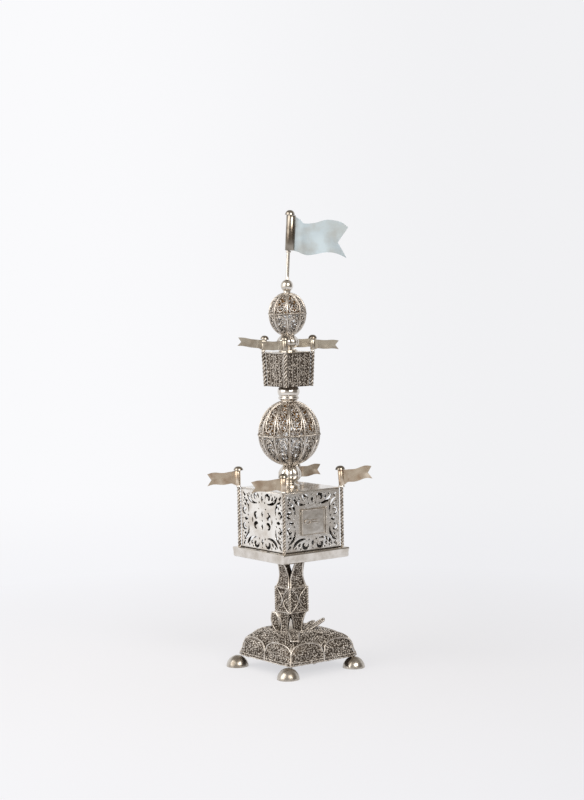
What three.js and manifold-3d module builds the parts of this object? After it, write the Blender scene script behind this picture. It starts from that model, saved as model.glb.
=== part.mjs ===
// A spice tower in silver: a small turret on a stem, built from soldered sheet and filigree.
// Units are millimetres, +Z is up, and the origin is on the table under the tower's axis.
// The door is on the side that faces -Y. Every section stands on the one below it.
import * as THREE from "three";
import { mergeVertices } from "three/addons/utils/BufferGeometryUtils.js";
import Module from "manifold-3d";

const wasm = await Module();
wasm.setup();

// Shared fits
const seat = 0.3; // gap left under a piece that is soldered to a curved one
const runningGap = 0.2; // gap round and along a piece that turns
const sheet = 0.8; // thickness of the silver sheet

// Feet
const footRadius = 6.1;
const footWall = 0.8;

// Base: a square cushion of filigree, standing with its corners on the feet
const baseHalf = 22.8; // half of a side
const baseHeight = 15.3; // rim to crown
const baseBulge = 1.1; // how far each arched panel swells
const baseDishDepth = 3.1; // the hollow in the crown that the stem stands in
const baseDishRadius = 8.6;
const baseShift = 3; // the rim was soldered on a little to the right of the stem
const feetShift = 1.6; // and the feet between the two

// Leaves round the stem's foot, each bent up by hand to its own angle
const leafLength = { front: 0.59 * baseHalf, right: 13.4, back: 7.8, left: 11 }; // the front one lies over the crown
const leafHalfWidth = 2.8;
const leafSheet = 0.6;
const leafRootRadius = { front: 0.55 * baseHalf, right: 7, back: 7.5, left: 8.1 };
const leafHeading = { front: -125, right: -45, back: -10, left: 135 }; // degrees, seen from above
const leafTwist = { front: 0, right: 15, back: 0, left: 62 }; // degrees about its own length
const leafTip = { front: 0.8, right: 0.15, back: 0.3, left: 0.2 }; // width left at the tip
const leafRootHeight = { front: 3.5, right: 0.4, back: 0.9, left: 0.4 }; // above the dish
const leafBend = { front: 7, right: 34, back: 33, left: 78 }; // degrees above level
const leafDroop = { front: 0.68 / baseHalf, right: 0.002, back: 0, left: 0 }; // sag per square of length

// Stem: four brackets below a knop and four above it
const stemFootReach = 6.8;
const lowerStemHeight = 12.3;
const lowerWaistReach = 5.3;
const lowerWaistHalfWidth = 2.7;
const knopHalf = 6.2;
const knopHeight = 14;
const knopWireRadius = 0.75;
const upperStemHeight = 17.9;
const upperWaistReach = 5;
const stemTopReach = 8.5;
const stemTopHalfWidth = 2.4;

// Tray under the spice box
const trayHalf = 22.6;
const trayHeight = 3.9;

// Spice box
const boxHalf = 19.5; // to the outside of a wall
const boxHeight = 32.2;
const lidThickness = 0.8;

// Door, hinged on its right edge
const doorWidth = 16.2;
const doorHeight = 14;
const doorLap = 0.7; // how far the door covers the wall round its opening
const doorCentreHeight = 15.8; // above the tray
const knuckleRadius = 0.7;
const hingePinRadius = 0.3;

// Twisted corner posts and the pins that the pennants turn on
const postRadius = 1;
const boxPinRadius = 0.6;
const galleryPinRadius = 0.5;
const boxPostGap = 0.36; // clear space between a post and the wall ends
const collarHeight = 0.8;
const capHeight = 2.1;
const capRadius = 2.7;

// Pennants of the box and of the gallery. A sleeve's height and a pennant's turn, rise and lean
// differ from corner to corner, as they were made and bent by hand.
const boxFlagLength = { front: 17.2, right: 17.2, back: 16.6, left: 17.2 };
const boxSleeveRadius = 1.5;
const boxSleeveHeight = { front: 7.2, right: 8.4, back: 7.2, left: 8 };
const boxFlagRise = { front: -0.06, right: 0.12, back: 0.02, left: -0.02 }; // mm per mm of length
const boxPinLean = { front: 0, right: -4, back: 0, left: 0 }; // degrees towards flagHeading
const galleryFlagLength = { front: 12.6, right: 14.2, back: 14.2, left: 14.4 };
const gallerySleeveRadius = 1.35;
const gallerySleeveHeight = { front: 5.8, right: 5.8, back: 5.6, left: 5.6 };
const galleryFlagRise = { front: 0, right: -0.02, back: 0.02, left: 0 };
const galleryPinLean = { front: 0, right: 0, back: 0, left: 7 };
const flagSheet = 0.45;
const flagHeading = -38; // degrees, seen from above: most pennants lie along this line
const boxFlagTurn = { front: 180, right: 0, back: 34, left: 188 }; // degrees on from flagHeading
const galleryFlagTurn = { front: 180, right: 0, back: 8, left: 180 };

// Baluster and large ball above the box
const balusterHeight = 12.5;
const balusterRadius = 6.3;
const ballRadius = 16.4;
const ballLowerHeight = 15.9;
const ballUpperHeight = 17.4;
const ballRibs = 12;
const ribHeight = 0.45;
const ballWindows = [
  [0.12, 0.44],
  [0.52, 0.8],
]; // shares of the way from the equator to the neck
const ballWindowWidth = 0.58; // share of a panel
const ballBandHeight = 1;
const ballBandLip = 0.6;

// Collar bead and gallery
const collarBeadHeight = 8.5;
const collarBeadRadius = 6.1;
const galleryBottomHalf = 8.5;
const galleryTopHalf = 9.15;
const galleryHeight = 18;
const galleryFloor = 0.8;
const galleryPostRadius = 0.85;
const galleryPostGap = 0.35;
const galleryCapRadius = 2.4;

// Upper baluster, small ball, bead and standard
const upperBalusterHeight = 9.4;
const upperBalusterRadius = 6.1;
const smallBallRadius = 9.8;
const smallBallLowerHeight = 10.9;
const smallBallUpperHeight = 10.4;
const smallBallRibs = 8;
const smallBallWindows = [[0.16, 0.72]];
const smallBandHeight = 0.8;
const beadRadius = 3.4;
const beadNeckHeight = 1.5;
const standardLean = 3.2; // degrees
const standardLength = 34.9;
const standardRadius = 0.95;
const standardCollarHeight = 1;
const bigFlagLength = 31.8;
const bigFlagHeight = 17.2;
const bigSleeveHeight = 19;
const bigSleeveRadius = 2.4;
const bigSleeveBore = 1.8;
const bigSleeveOffset = 0.7; // a loose sleeve hangs to the side that the flag is on

// Heights of the joints between the sections, each stacked on the one below
const baseRimZ = footRadius + seat;
const baseDishZ = baseRimZ + baseHeight - baseDishDepth;
const knopZ = baseDishZ + lowerStemHeight;
const upperStemZ = knopZ + knopHeight;
const trayZ = upperStemZ + upperStemHeight;
const boxZ = trayZ + trayHeight;
const lidZ = boxZ + boxHeight;
const lidTopZ = lidZ + lidThickness;
const ballLowerZ = lidTopZ + balusterHeight;
const ballBandZ = ballLowerZ + ballLowerHeight;
const ballUpperZ = ballBandZ + ballBandHeight;
const collarBeadZ = ballUpperZ + ballUpperHeight;
const galleryZ = collarBeadZ + collarBeadHeight;
const galleryLidZ = galleryZ + galleryHeight;
const galleryLidTopZ = galleryLidZ + lidThickness;
const smallBallLowerZ = galleryLidTopZ + upperBalusterHeight;
const smallBandZ = smallBallLowerZ + smallBallLowerHeight;
const smallBallUpperZ = smallBandZ + smallBandHeight;
const beadZ = smallBallUpperZ + smallBallUpperHeight;

// Where the corner posts stand, from the axis along X and along Y
const boxPostReach = boxHalf + (postRadius + boxPostGap) / Math.SQRT2 - sheet / 2;
const galleryPostFootReach = galleryBottomHalf + (galleryPostRadius + galleryPostGap) / Math.SQRT2 - sheet / 2;
const galleryPostReach = galleryTopHalf + (galleryPostRadius + galleryPostGap) / Math.SQRT2 - sheet / 2;

const tower = new THREE.Group();
const silver = { polished: [0xc9c4bb, 0.22], filigree: [0x8d857a, 0.42], gilt: [0xb7a48a, 0.28] };

function addPiece(name, shape, finish, parent = tower) {
  const [color, roughness] = silver[finish];
  const geometry = shape.isBufferGeometry ? shape : geometryOf(shape);
  const piece = new THREE.Mesh(geometry, new THREE.MeshStandardMaterial({ color, roughness, metalness: 1 }));
  piece.name = name;
  parent.add(piece);
  return piece;
}

// Solids and geometries

function solidOf(geometry) {
  const bare = geometry.index ? geometry.toNonIndexed() : geometry.clone();
  bare.deleteAttribute("normal");
  bare.deleteAttribute("uv");
  const merged = mergeVertices(bare, 1e-4);
  const vertProperties = merged.attributes.position.array;
  const triVerts = new Uint32Array(merged.index.array);
  return new wasm.Manifold(new wasm.Mesh({ numProp: 3, vertProperties, triVerts }));
}

function geometryOf(solid) {
  const made = solid.getMesh();
  const geometry = new THREE.BufferGeometry();
  geometry.setAttribute("position", new THREE.BufferAttribute(new Float32Array(made.vertProperties), 3));
  geometry.setIndex(new THREE.BufferAttribute(made.triVerts, 1));
  geometry.computeVertexNormals();
  return geometry;
}

function joined(...parts) {
  return parts.map((part) => (part.isBufferGeometry ? solidOf(part) : part)).reduce((all, next) => all.add(next));
}

function box(x0, x1, y0, y1, z0, z1) {
  const block = new THREE.BoxGeometry(x1 - x0, y1 - y0, z1 - z0);
  return block.translate((x0 + x1) / 2, (y0 + y1) / 2, (z0 + z1) / 2);
}

// A solid turned about the Z axis from [radius, height] points that run from the top down.
function turned(points, segments = 20) {
  const profile = points.map(([radius, height]) => new THREE.Vector2(radius, height));
  return new THREE.LatheGeometry(profile.reverse(), segments).rotateX(Math.PI / 2);
}

// A tube or ring about the Z axis with a rectangular section.
function ringAbout(inner, outer, low, high, segments = 12) {
  return turned([[inner, high], [outer, high], [outer, low], [inner, low], [inner, high]], segments);
}

// A closed surface through rings of points; a ring of one point closes that end, and a closed
// sequence joins its last ring to its first.
function lofted(rings, closed = false) {
  const positions = rings.flat().flatMap((point) => [point.x, point.y, point.z]);
  const starts = rings.map((_, i) => rings.slice(0, i).reduce((sum, ring) => sum + ring.length, 0));
  const count = Math.max(...rings.map((ring) => ring.length));
  const faces = [];
  for (let i = 0; i < rings.length - (closed ? 0 : 1); i++) {
    const next = (i + 1) % rings.length;
    const low = (k) => starts[i] + (k % rings[i].length);
    const high = (k) => starts[next] + (k % rings[next].length);
    for (let k = 0; k < count; k++) {
      if (rings[i].length > 1) faces.push(low(k), low(k + 1), high(k + 1));
      if (rings[next].length > 1) faces.push(low(k), high(k + 1), high(k));
    }
  }
  const geometry = new THREE.BufferGeometry();
  geometry.setAttribute("position", new THREE.Float32BufferAttribute(positions, 3));
  geometry.setIndex(faces);
  return facingOut(geometry);
}

function facingOut(geometry) {
  const position = geometry.attributes.position;
  const index = geometry.index.array;
  const corner = [0, 1, 2].map(() => new THREE.Vector3());
  let volume = 0;
  for (let i = 0; i < index.length; i += 3) {
    corner.forEach((point, k) => point.fromBufferAttribute(position, index[i + k]));
    volume += corner[0].dot(corner[1].cross(corner[2]));
  }
  if (volume < 0) index.reverse();
  geometry.computeVertexNormals();
  return geometry;
}

// A strip of sheet: each row is a line of points across it, and back(point, row) is its other face.
function strip(rows, back) {
  const rings = rows.map((row, i) => [...row, ...row.map((point) => back(point, i)).reverse()]);
  const solidEnds = (ring) => {
    const half = ring.length / 2;
    const faces = [];
    for (let k = 0; k < half - 1; k++) {
      faces.push(k, k + 1, ring.length - 2 - k, k, ring.length - 2 - k, ring.length - 1 - k);
    }
    return faces;
  };
  const positions = rings.flat().flatMap((point) => [point.x, point.y, point.z]);
  const width = rings[0].length;
  const faces = [];
  for (let i = 0; i < rings.length - 1; i++) {
    for (let k = 0; k < width; k++) {
      const across = (k + 1) % width;
      const [a, b, c, d] = [i * width + k, i * width + across, (i + 1) * width + across, (i + 1) * width + k];
      faces.push(a, b, c, a, c, d);
    }
  }
  faces.push(...solidEnds(rings[0]).reverse());
  faces.push(...solidEnds(rings[0]).map((k) => k + (rings.length - 1) * width));
  const geometry = new THREE.BufferGeometry();
  geometry.setAttribute("position", new THREE.Float32BufferAttribute(positions, 3));
  geometry.setIndex(faces);
  return facingOut(geometry);
}

const headingAngle = THREE.MathUtils.degToRad(flagHeading);
const alongHeading = new THREE.Vector3(Math.cos(headingAngle), Math.sin(headingAngle), 0);
const acrossHeading = new THREE.Vector3(-Math.sin(headingAngle), Math.cos(headingAngle), 0);

const corners = [
  { name: "front", x: -1, y: -1 },
  { name: "right", x: 1, y: -1 },
  { name: "back", x: 1, y: 1 },
  { name: "left", x: -1, y: 1 },
];

// Feet: hollow half balls with a flat rim, and a small flat on top for the base's corner

function makeFoot() {
  const arc = (radius, count) =>
    Array.from({ length: count + 1 }, (_, i) => {
      const angle = (Math.PI / 2) * (1 - i / count);
      return [radius * Math.cos(angle), radius * Math.sin(angle)];
    });
  const outside = arc(footRadius, 5);
  const inside = arc(footRadius - footWall, 4).reverse();
  outside[0][0] = 0;
  inside[inside.length - 1][0] = 0;
  return turned([...outside, ...inside], 14);
}

for (const corner of corners) {
  const foot = addPiece(`foot_${corner.name}`, makeFoot(), "polished");
  foot.position.set(corner.x * baseHalf, corner.y * baseHalf, 0).addScaledVector(alongHeading, feetShift);
}

// Base: rows of [height, half side, squareness, share of the sideways shift] from the rim to the
// dish in the crown

const baseRows = [
  [0, baseHalf, 90, 1],
  [0.19 * baseHeight, 0.995 * baseHalf, 22, 1],
  [0.45 * baseHeight, 0.975 * baseHalf, 13, 1],
  [0.64 * baseHeight, 0.93 * baseHalf, 9, 0.93],
  [0.8 * baseHeight, 0.86 * baseHalf, 6, 0.75],
  [0.91 * baseHeight, 0.77 * baseHalf, 4.8, 0.45],
  [0.98 * baseHeight, 0.65 * baseHalf, 4, 0.15],
  [baseHeight, 0.5 * baseHalf, 3, 0],
  [baseHeight - 0.45 * baseDishDepth, baseDishRadius + 0.8, 2.4, 0],
  [baseHeight - baseDishDepth, baseDishRadius, 2.1, 0],
];

// A point of the cushion's skin, at an angle about the axis, shrunk inwards by an inset.
function basePoint([height, half, squareness, shiftShare], angle, inset) {
  const cos = Math.abs(Math.cos(angle));
  const sin = Math.abs(Math.sin(angle));
  const reach = (half - inset) / (cos ** squareness + sin ** squareness) ** (1 / squareness);
  const alongSide = Math.min(cos, sin) / Math.max(cos, sin);
  const swell = baseBulge * Math.sin(Math.PI * alongSide) ** 2 * Math.sin((Math.PI * height) / baseHeight);
  const radius = reach + Math.max(0, swell);
  const point = new THREE.Vector3(radius * Math.cos(angle), radius * Math.sin(angle), baseRimZ + height - inset);
  return point.addScaledVector(alongHeading, shiftShare * baseShift);
}

function makeBase(columns = 32) {
  const around = Array.from({ length: columns }, (_, k) => (k * 2 * Math.PI) / columns);
  const outside = baseRows.map((row) => around.map((angle) => basePoint(row, angle, 0)));
  const inside = baseRows.map((row) => around.map((angle) => basePoint(row, angle, sheet)));
  inside[0].forEach((point) => (point.z = baseRimZ));
  const dishTop = new THREE.Vector3(0, 0, baseDishZ);
  const dishUnder = new THREE.Vector3(0, 0, baseDishZ - sheet);
  return lofted([[dishTop], ...outside.reverse(), ...inside, [dishUnder]]);
}

addPiece("base_cushion", makeBase(), "filigree");

// Leaves: pointed plates that spring from the crown, drawn by the line of their middle

function makeLeaf(corner) {
  const steps = 4;
  const bend = THREE.MathUtils.degToRad(leafBend[corner]);
  const droop = leafDroop[corner];
  const twist = THREE.MathUtils.degToRad(leafTwist[corner]);
  const middle = Array.from({ length: steps + 1 }, (_, i) => {
    const along = (i / steps) * leafLength[corner];
    const up = along * Math.sin(bend) - droop * along ** 2;
    return new THREE.Vector3(along * Math.cos(bend), 0, up);
  });
  const across = new THREE.Vector3(0, Math.cos(twist), 0);
  across.x = -Math.sin(twist) * Math.sin(bend);
  across.z = Math.sin(twist) * Math.cos(bend);
  const through = new THREE.Vector3().crossVectors(new THREE.Vector3(Math.cos(bend), 0, Math.sin(bend)), across);
  const widths = [0.3, 0.85, 1, 0.85, leafTip[corner]].map((share) => share * leafHalfWidth);
  const rows = middle.map((point, i) => [-1, 1].map((side) => point.clone().addScaledVector(across, side * widths[i])));
  return strip(rows, (point) => point.clone().addScaledVector(through, leafSheet));
}

for (const { name } of corners) {
  const leaf = addPiece(`leaf_${name}`, makeLeaf(name), "filigree");
  const heading = THREE.MathUtils.degToRad(leafHeading[name]);
  const reach = leafRootRadius[name];
  leaf.position.set(reach * Math.cos(heading), reach * Math.sin(heading), baseDishZ + seat + leafRootHeight[name]);
  leaf.rotation.z = heading;
}

// Stem: each part is four curved brackets held by a frame at the knop and a plate at its other end.
// Rows are [height, reach from the axis, half width].

function makeBrackets(rows, low) {
  const side = strip(
    rows.map(([height, reach, half]) => [-half, 0, half].map((y) => new THREE.Vector3(reach, y, low + height))),
    (point) => new THREE.Vector3(point.x - sheet, point.y, point.z),
  );
  return [0, 1, 2, 3].map((turn) => side.clone().rotateZ((turn * Math.PI) / 2));
}

function squareFrame(half, low, high) {
  const inner = half - sheet;
  return joined(
    box(-half, half, -half, -inner, low, high),
    box(-half, half, inner, half, low, high),
    box(-half, -inner, -half, half, low, high),
    box(inner, half, -half, half, low, high),
  );
}

const lowerRows = [
  [0, stemFootReach, 2.9],
  [0.12 * lowerStemHeight, 0.86 * stemFootReach, 2.6],
  [0.3 * lowerStemHeight, lowerWaistReach, lowerWaistHalfWidth],
  [0.55 * lowerStemHeight, lowerWaistReach, lowerWaistHalfWidth + 0.5],
  [0.8 * lowerStemHeight, lowerWaistReach + 0.3, 0.7 * knopHalf],
  [lowerStemHeight, knopHalf, knopHalf - sheet],
];
const lowerFrame = squareFrame(knopHalf, knopZ - sheet, knopZ);
const lowerFoot = box(-stemFootReach, stemFootReach, -2.9, 2.9, baseDishZ, baseDishZ + sheet);
const lowerFootAcross = box(-2.9, 2.9, -stemFootReach, stemFootReach, baseDishZ, baseDishZ + sheet);
addPiece(
  "stem_lower_brackets",
  joined(...makeBrackets(lowerRows, baseDishZ), lowerFrame, lowerFoot, lowerFootAcross),
  "filigree",
);

const upperRows = [
  [0, knopHalf, knopHalf - sheet],
  [0.17 * upperStemHeight, upperWaistReach + 0.3, 4.7],
  [0.36 * upperStemHeight, upperWaistReach, 4.1],
  [0.61 * upperStemHeight, upperWaistReach + 0.9, 3.3],
  [0.82 * upperStemHeight, 0.85 * stemTopReach, 2.8],
  [upperStemHeight, stemTopReach, stemTopHalfWidth],
];
const upperFrame = squareFrame(knopHalf, upperStemZ, upperStemZ + sheet);
const upperPlate = box(-stemTopReach, stemTopReach, -2.4, 2.4, trayZ - sheet, trayZ);
const upperPlateAcross = box(-2.4, 2.4, -stemTopReach, stemTopReach, trayZ - sheet, trayZ);
addPiece(
  "stem_upper_brackets",
  joined(...makeBrackets(upperRows, upperStemZ), upperFrame, upperPlate, upperPlateAcross),
  "filigree",
);

// Knop: an open square drum with a thick wire down each corner

function makeKnop() {
  const wire = (corner) =>
    new THREE.CylinderGeometry(knopWireRadius, knopWireRadius, knopHeight, 8)
      .rotateX(Math.PI / 2)
      .translate(corner.x * knopHalf, corner.y * knopHalf, knopZ + knopHeight / 2);
  return joined(squareFrame(knopHalf, knopZ, upperStemZ), ...corners.map(wire));
}

addPiece("knop", makeKnop(), "filigree");

// Tray: a square moulding that the box stands on

const trayProfile = [
  [0, trayHalf - 0.4],
  [0.1, trayHalf],
  [0.45, trayHalf],
  [0.56, trayHalf - 0.6],
  [0.7, trayHalf - 0.6],
  [0.78, trayHalf],
  [0.9, trayHalf],
  [1, trayHalf - 1.2],
];

function makeTray() {
  const rings = trayProfile.map(([share, half]) =>
    corners.map((corner) => new THREE.Vector3(corner.x * half, corner.y * half, trayZ + share * trayHeight)),
  );
  return lofted([[new THREE.Vector3(0, 0, trayZ)], ...rings, [new THREE.Vector3(0, 0, boxZ)]]);
}

addPiece("tray", makeTray(), "polished");

// Box walls: pierced sheet. A wall is drawn flat with its middle at the origin, then stood up.

const wallHalf = boxHalf - sheet; // half of a wall's own length
const doorwayHalfWidth = doorWidth / 2 - doorLap;
const doorwayHalfHeight = doorHeight / 2 - doorLap;
const doorMiddle = doorCentreHeight - boxHeight / 2; // above the wall's middle

// A tapering hole along a short bow, as a piercing saw leaves it.
function comma(x, y, length, width, turn) {
  const points = [-0.45, 0.45].map((along) => [along, 1 + 0.3 * along]);
  const bow = (along) => 0.35 * length * along * along;
  const outer = points.map(([along, half]) => [(along * length) / 2, bow(along) + (half * width) / 2]);
  const inner = points.map(([along, half]) => [(along * length) / 2, bow(along) - (half * width) / 2]);
  const ends = [[[length / 2, bow(1)]], [[-length / 2, bow(-1)]]];
  const loop = [...outer, ...ends[0], ...inner.reverse(), ...ends[1]];
  const path = new THREE.Path();
  const turned = loop.map(([u, v]) => {
    const cos = Math.cos(turn);
    const sin = Math.sin(turn);
    return new THREE.Vector2(x + u * cos - v * sin, y + u * sin + v * cos);
  });
  path.setFromPoints(turned);
  return path;
}

// The piercings of one border: commas either side of a middle drop, along a wall's edge.
function borderHoles(distance, reach, turn) {
  const holes = [];
  const place = (along, out, length, width, lean) => {
    const x = along * Math.cos(turn) - out * Math.sin(turn);
    const y = along * Math.sin(turn) + out * Math.cos(turn);
    holes.push(comma(x, y, length, width, turn + lean));
  };
  place(0, distance, 3, 1.3, Math.PI / 2);
  for (const side of [-1, 1]) {
    place(side * 0.32 * reach, distance + 0.7, 3.2, 1.1, side * 0.5 + (side < 0 ? Math.PI : 0));
    place(side * 0.62 * reach, distance - 0.9, 4.4, 1, side * 0.35);
  }
  return holes;
}

function makeWall(withDoor) {
  const halfHeight = boxHeight / 2;
  const outline = new THREE.Shape();
  outline.moveTo(-wallHalf, -halfHeight);
  outline.lineTo(wallHalf, -halfHeight);
  outline.lineTo(wallHalf, halfHeight);
  outline.lineTo(-wallHalf, halfHeight);
  const edge = 3.6;
  for (let turn = 0; turn < 4; turn++) {
    const upright = turn % 2 === 1;
    const distance = (upright ? wallHalf : halfHeight) - edge;
    const reach = (upright ? halfHeight : wallHalf) - edge;
    outline.holes.push(...borderHoles(distance, reach, (turn * Math.PI) / 2));
  }
  for (const corner of corners) {
    const x = corner.x * (wallHalf - 2.4);
    outline.holes.push(comma(x, corner.y * (halfHeight - 2.4), 2.6, 1, (corner.x * corner.y * Math.PI) / 4));
  }
  if (withDoor) {
    const low = doorMiddle - doorwayHalfHeight;
    const high = doorMiddle + doorwayHalfHeight;
    const doorway = new THREE.Path();
    doorway.moveTo(-doorwayHalfWidth, low);
    doorway.lineTo(-doorwayHalfWidth, high);
    doorway.lineTo(doorwayHalfWidth, high);
    doorway.lineTo(doorwayHalfWidth, low);
    outline.holes.push(doorway);
  } else {
    for (let k = 0; k < 8; k++) {
      const angle = (k * Math.PI) / 4 + Math.PI / 8;
      outline.holes.push(comma(4.4 * Math.cos(angle), 4.4 * Math.sin(angle), 3, 1.1, angle));
    }
  }
  const wall = new THREE.ExtrudeGeometry(outline, { depth: sheet, bevelEnabled: false });
  return wall.rotateX(Math.PI / 2).translate(0, -boxHalf + sheet, boxZ + halfHeight);
}

// The hinge: three knuckles on one pin, the middle one on the door

const knuckleCount = 3;
const knuckleLength = (doorHeight - (knuckleCount - 1) * runningGap) / knuckleCount;
const hingeX = doorWidth / 2 + knuckleRadius - 0.1;
const hingeY = -boxHalf - seat - knuckleRadius;
const doorLowZ = boxZ + doorCentreHeight - doorHeight / 2;
const knuckleBore = hingePinRadius + 0.12;

function knuckle(index) {
  const low = doorLowZ + index * (knuckleLength + runningGap);
  return solidOf(
    ringAbout(knuckleBore, knuckleRadius, low, low + knuckleLength, 10).translate(hingeX, hingeY, 0),
  );
}

// The leaf that ties a fixed knuckle to the wall's face.
function knuckleLeaf(index) {
  const low = doorLowZ + index * (knuckleLength + runningGap);
  const reach = hingeX + knuckleRadius + 1.4;
  return box(hingeX + knuckleBore + 0.1, reach, -boxHalf - seat - 0.5, -boxHalf + 0.1, low, low + knuckleLength);
}

const doorWall = joined(makeWall(true), knuckle(0), knuckle(2), knuckleLeaf(0), knuckleLeaf(2));
addPiece("wall_front_door", doorWall, "polished");
addPiece("wall_right", makeWall(false).rotateZ(Math.PI / 2), "polished");
addPiece("wall_back", makeWall(false).rotateZ(Math.PI), "polished");
addPiece("wall_left", makeWall(false).rotateZ(-Math.PI / 2), "polished");

function makeDoor() {
  const half = doorWidth / 2;
  const innerY = -boxHalf - seat;
  const outerY = innerY - sheet;
  const highZ = doorLowZ + doorHeight;
  const rim = 0.5;
  const plate = box(-half, half - 0.6, outerY, innerY, doorLowZ, highZ);
  const tongueLow = doorLowZ + knuckleLength + runningGap;
  const tongue = box(half - 0.8, hingeX - knuckleBore - 0.1, outerY, innerY, tongueLow, tongueLow + knuckleLength);
  const rims = [
    box(-half, -half + rim, outerY - rim, outerY + 0.1, doorLowZ, highZ),
    box(-half, half - 0.6, outerY - rim, outerY + 0.1, doorLowZ, doorLowZ + rim),
    box(-half, half - 0.6, outerY - rim, outerY + 0.1, highZ - rim, highZ),
  ];
  return joined(plate, tongue, knuckle(1), ...rims);
}

addPiece("door", makeDoor(), "polished");

const pinHead = 0.35;
addPiece(
  "hinge_pin",
  turned(
    [
      [0, doorHeight + pinHead + 0.1],
      [knuckleRadius - 0.15, doorHeight + pinHead + 0.1],
      [knuckleRadius - 0.15, doorHeight + 0.1],
      [hingePinRadius, doorHeight + 0.1],
      [hingePinRadius, -0.1],
      [knuckleRadius - 0.15, -0.1],
      [knuckleRadius - 0.15, -pinHead - 0.1],
      [0, -pinHead - 0.1],
    ],
    10,
  ).translate(hingeX, hingeY, doorLowZ),
  "polished",
);

// The pull: a wire eye with a two-wire tail, soldered flat on the door
function makePull() {
  const faceY = -boxHalf - seat - sheet;
  const middleZ = doorLowZ + doorHeight / 2 + 0.4;
  const wire = 0.7;
  const eye = ringAbout(1, 1 + wire, 0, wire, 12).scale(1.5, 1, 1).rotateX(Math.PI / 2);
  eye.translate(-4.4, faceY, middleZ);
  const prong = (z) => box(-2.2, 2.6, faceY - wire, faceY, z - wire / 2, z + wire / 2);
  return joined(eye, prong(middleZ - 0.5), prong(middleZ + 0.5), box(-2.6, -1.8, faceY - wire, faceY, middleZ - 1, middleZ + 1));
}

addPiece("door_pull", makePull(), "polished");

// Lid of the box, with its corners cut back for the posts

function cutCornerPlate(half, cut, low, high) {
  const outline = new THREE.Shape();
  outline.moveTo(half - cut, -half);
  outline.lineTo(half, -half + cut);
  outline.lineTo(half, half - cut);
  outline.lineTo(half - cut, half);
  outline.lineTo(-half + cut, half);
  outline.lineTo(-half, half - cut);
  outline.lineTo(-half, -half + cut);
  outline.lineTo(-half + cut, -half);
  return new THREE.ExtrudeGeometry(outline, { depth: high - low, bevelEnabled: false }).translate(0, 0, low);
}

addPiece("box_lid", cutCornerPlate(boxHalf, sheet, lidZ, lidTopZ), "polished");

// Posts: a twisted bar that rises past the lid, ends in a collar, and carries a pin for a pennant

function twistedBar(foot, head, radius, turnPerStep = 0.3 * Math.PI, step = 2.2) {
  const steps = Math.round(foot.distanceTo(head) / step);
  const rings = Array.from({ length: steps + 1 }, (_, i) => {
    const centre = foot.clone().lerp(head, i / steps);
    return Array.from({ length: 4 }, (__, k) => {
      const angle = (k * Math.PI) / 2 + i * turnPerStep;
      const reach = k % 2 === 0 ? radius : 0.75 * radius;
      return new THREE.Vector3(reach * Math.cos(angle), reach * Math.sin(angle), 0).add(centre);
    });
  });
  return lofted([[foot], ...rings, [head]]);
}

function makePost(foot, head, radius, pinRadius, sleeveHeight, lean) {
  const pinTop = collarHeight + sleeveHeight + 2 * runningGap;
  const collar = turned(
    [
      [0, collarHeight],
      [1.25 * radius, collarHeight],
      [1.35 * radius, collarHeight / 2],
      [1.25 * radius, 0],
      [0, 0],
    ],
    10,
  );
  const pin = new THREE.CylinderGeometry(pinRadius, pinRadius, pinTop - 0.1, 10).rotateX(Math.PI / 2);
  pin.translate(0, 0, (pinTop + 0.1) / 2);
  pin.applyMatrix4(lean.matrix);
  return joined(twistedBar(foot, head, radius), collar.translate(head.x, head.y, head.z), pin);
}

// Cap: a thin umbrella with a boss that sits on the pin's end
function makeCap(radius, height, pinRadius) {
  return turned(
    [
      [0, height],
      [0.5 * radius, 0.91 * height],
      [0.86 * radius, 0.5 * height],
      [radius, 0],
      [0.74 * radius, 0.35 * height],
      [pinRadius, 0.55 * height],
      [pinRadius, 0],
      [0, 0],
    ],
    12,
  );
}

// Pennants: a rolled sleeve on a pin and a waved sheet that ends in a swallowtail. The sheet is
// drawn along +X with its wave across it, from the pin's axis outwards. drift(share) is how far
// the sheet has risen at that share of its length.

const flagShares = [0, 0.09, 0.16, 0.26, 0.42, 0.58, 0.74, 0.88, 1];

function makeFlag({ length, sleeveHeight, sheetHeight, sleeveRadius, bore, offset, wave, drift }) {
  const start = offset + (bore + sleeveRadius) / 2;
  const notch = 0.13 * length;
  const rows = flagShares.map((share) =>
    [-1, 0, 1].map((level) => {
      const end = length - notch * (1 - Math.abs(level));
      const curl = 1.1 * Math.exp(-(((share - 0.16) / 0.07) ** 2));
      const across = wave * (curl + share * Math.sin(2.2 * Math.PI * share));
      const half = (sheetHeight + (sleeveHeight - sheetHeight) * Math.max(0, 1 - 8 * share)) / 2;
      const height = sleeveHeight / 2 + level * half + drift(share);
      return new THREE.Vector3(start + share * (end - start), across, height);
    }),
  );
  const flagSolid = strip(rows, (point) => new THREE.Vector3(point.x, point.y - flagSheet, point.z));
  const sleeve = ringAbout(bore, sleeveRadius, 0, sleeveHeight, 12).translate(offset, 0, 0);
  return joined(sleeve, flagSolid.translate(0, flagSheet / 2, 0));
}

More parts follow.
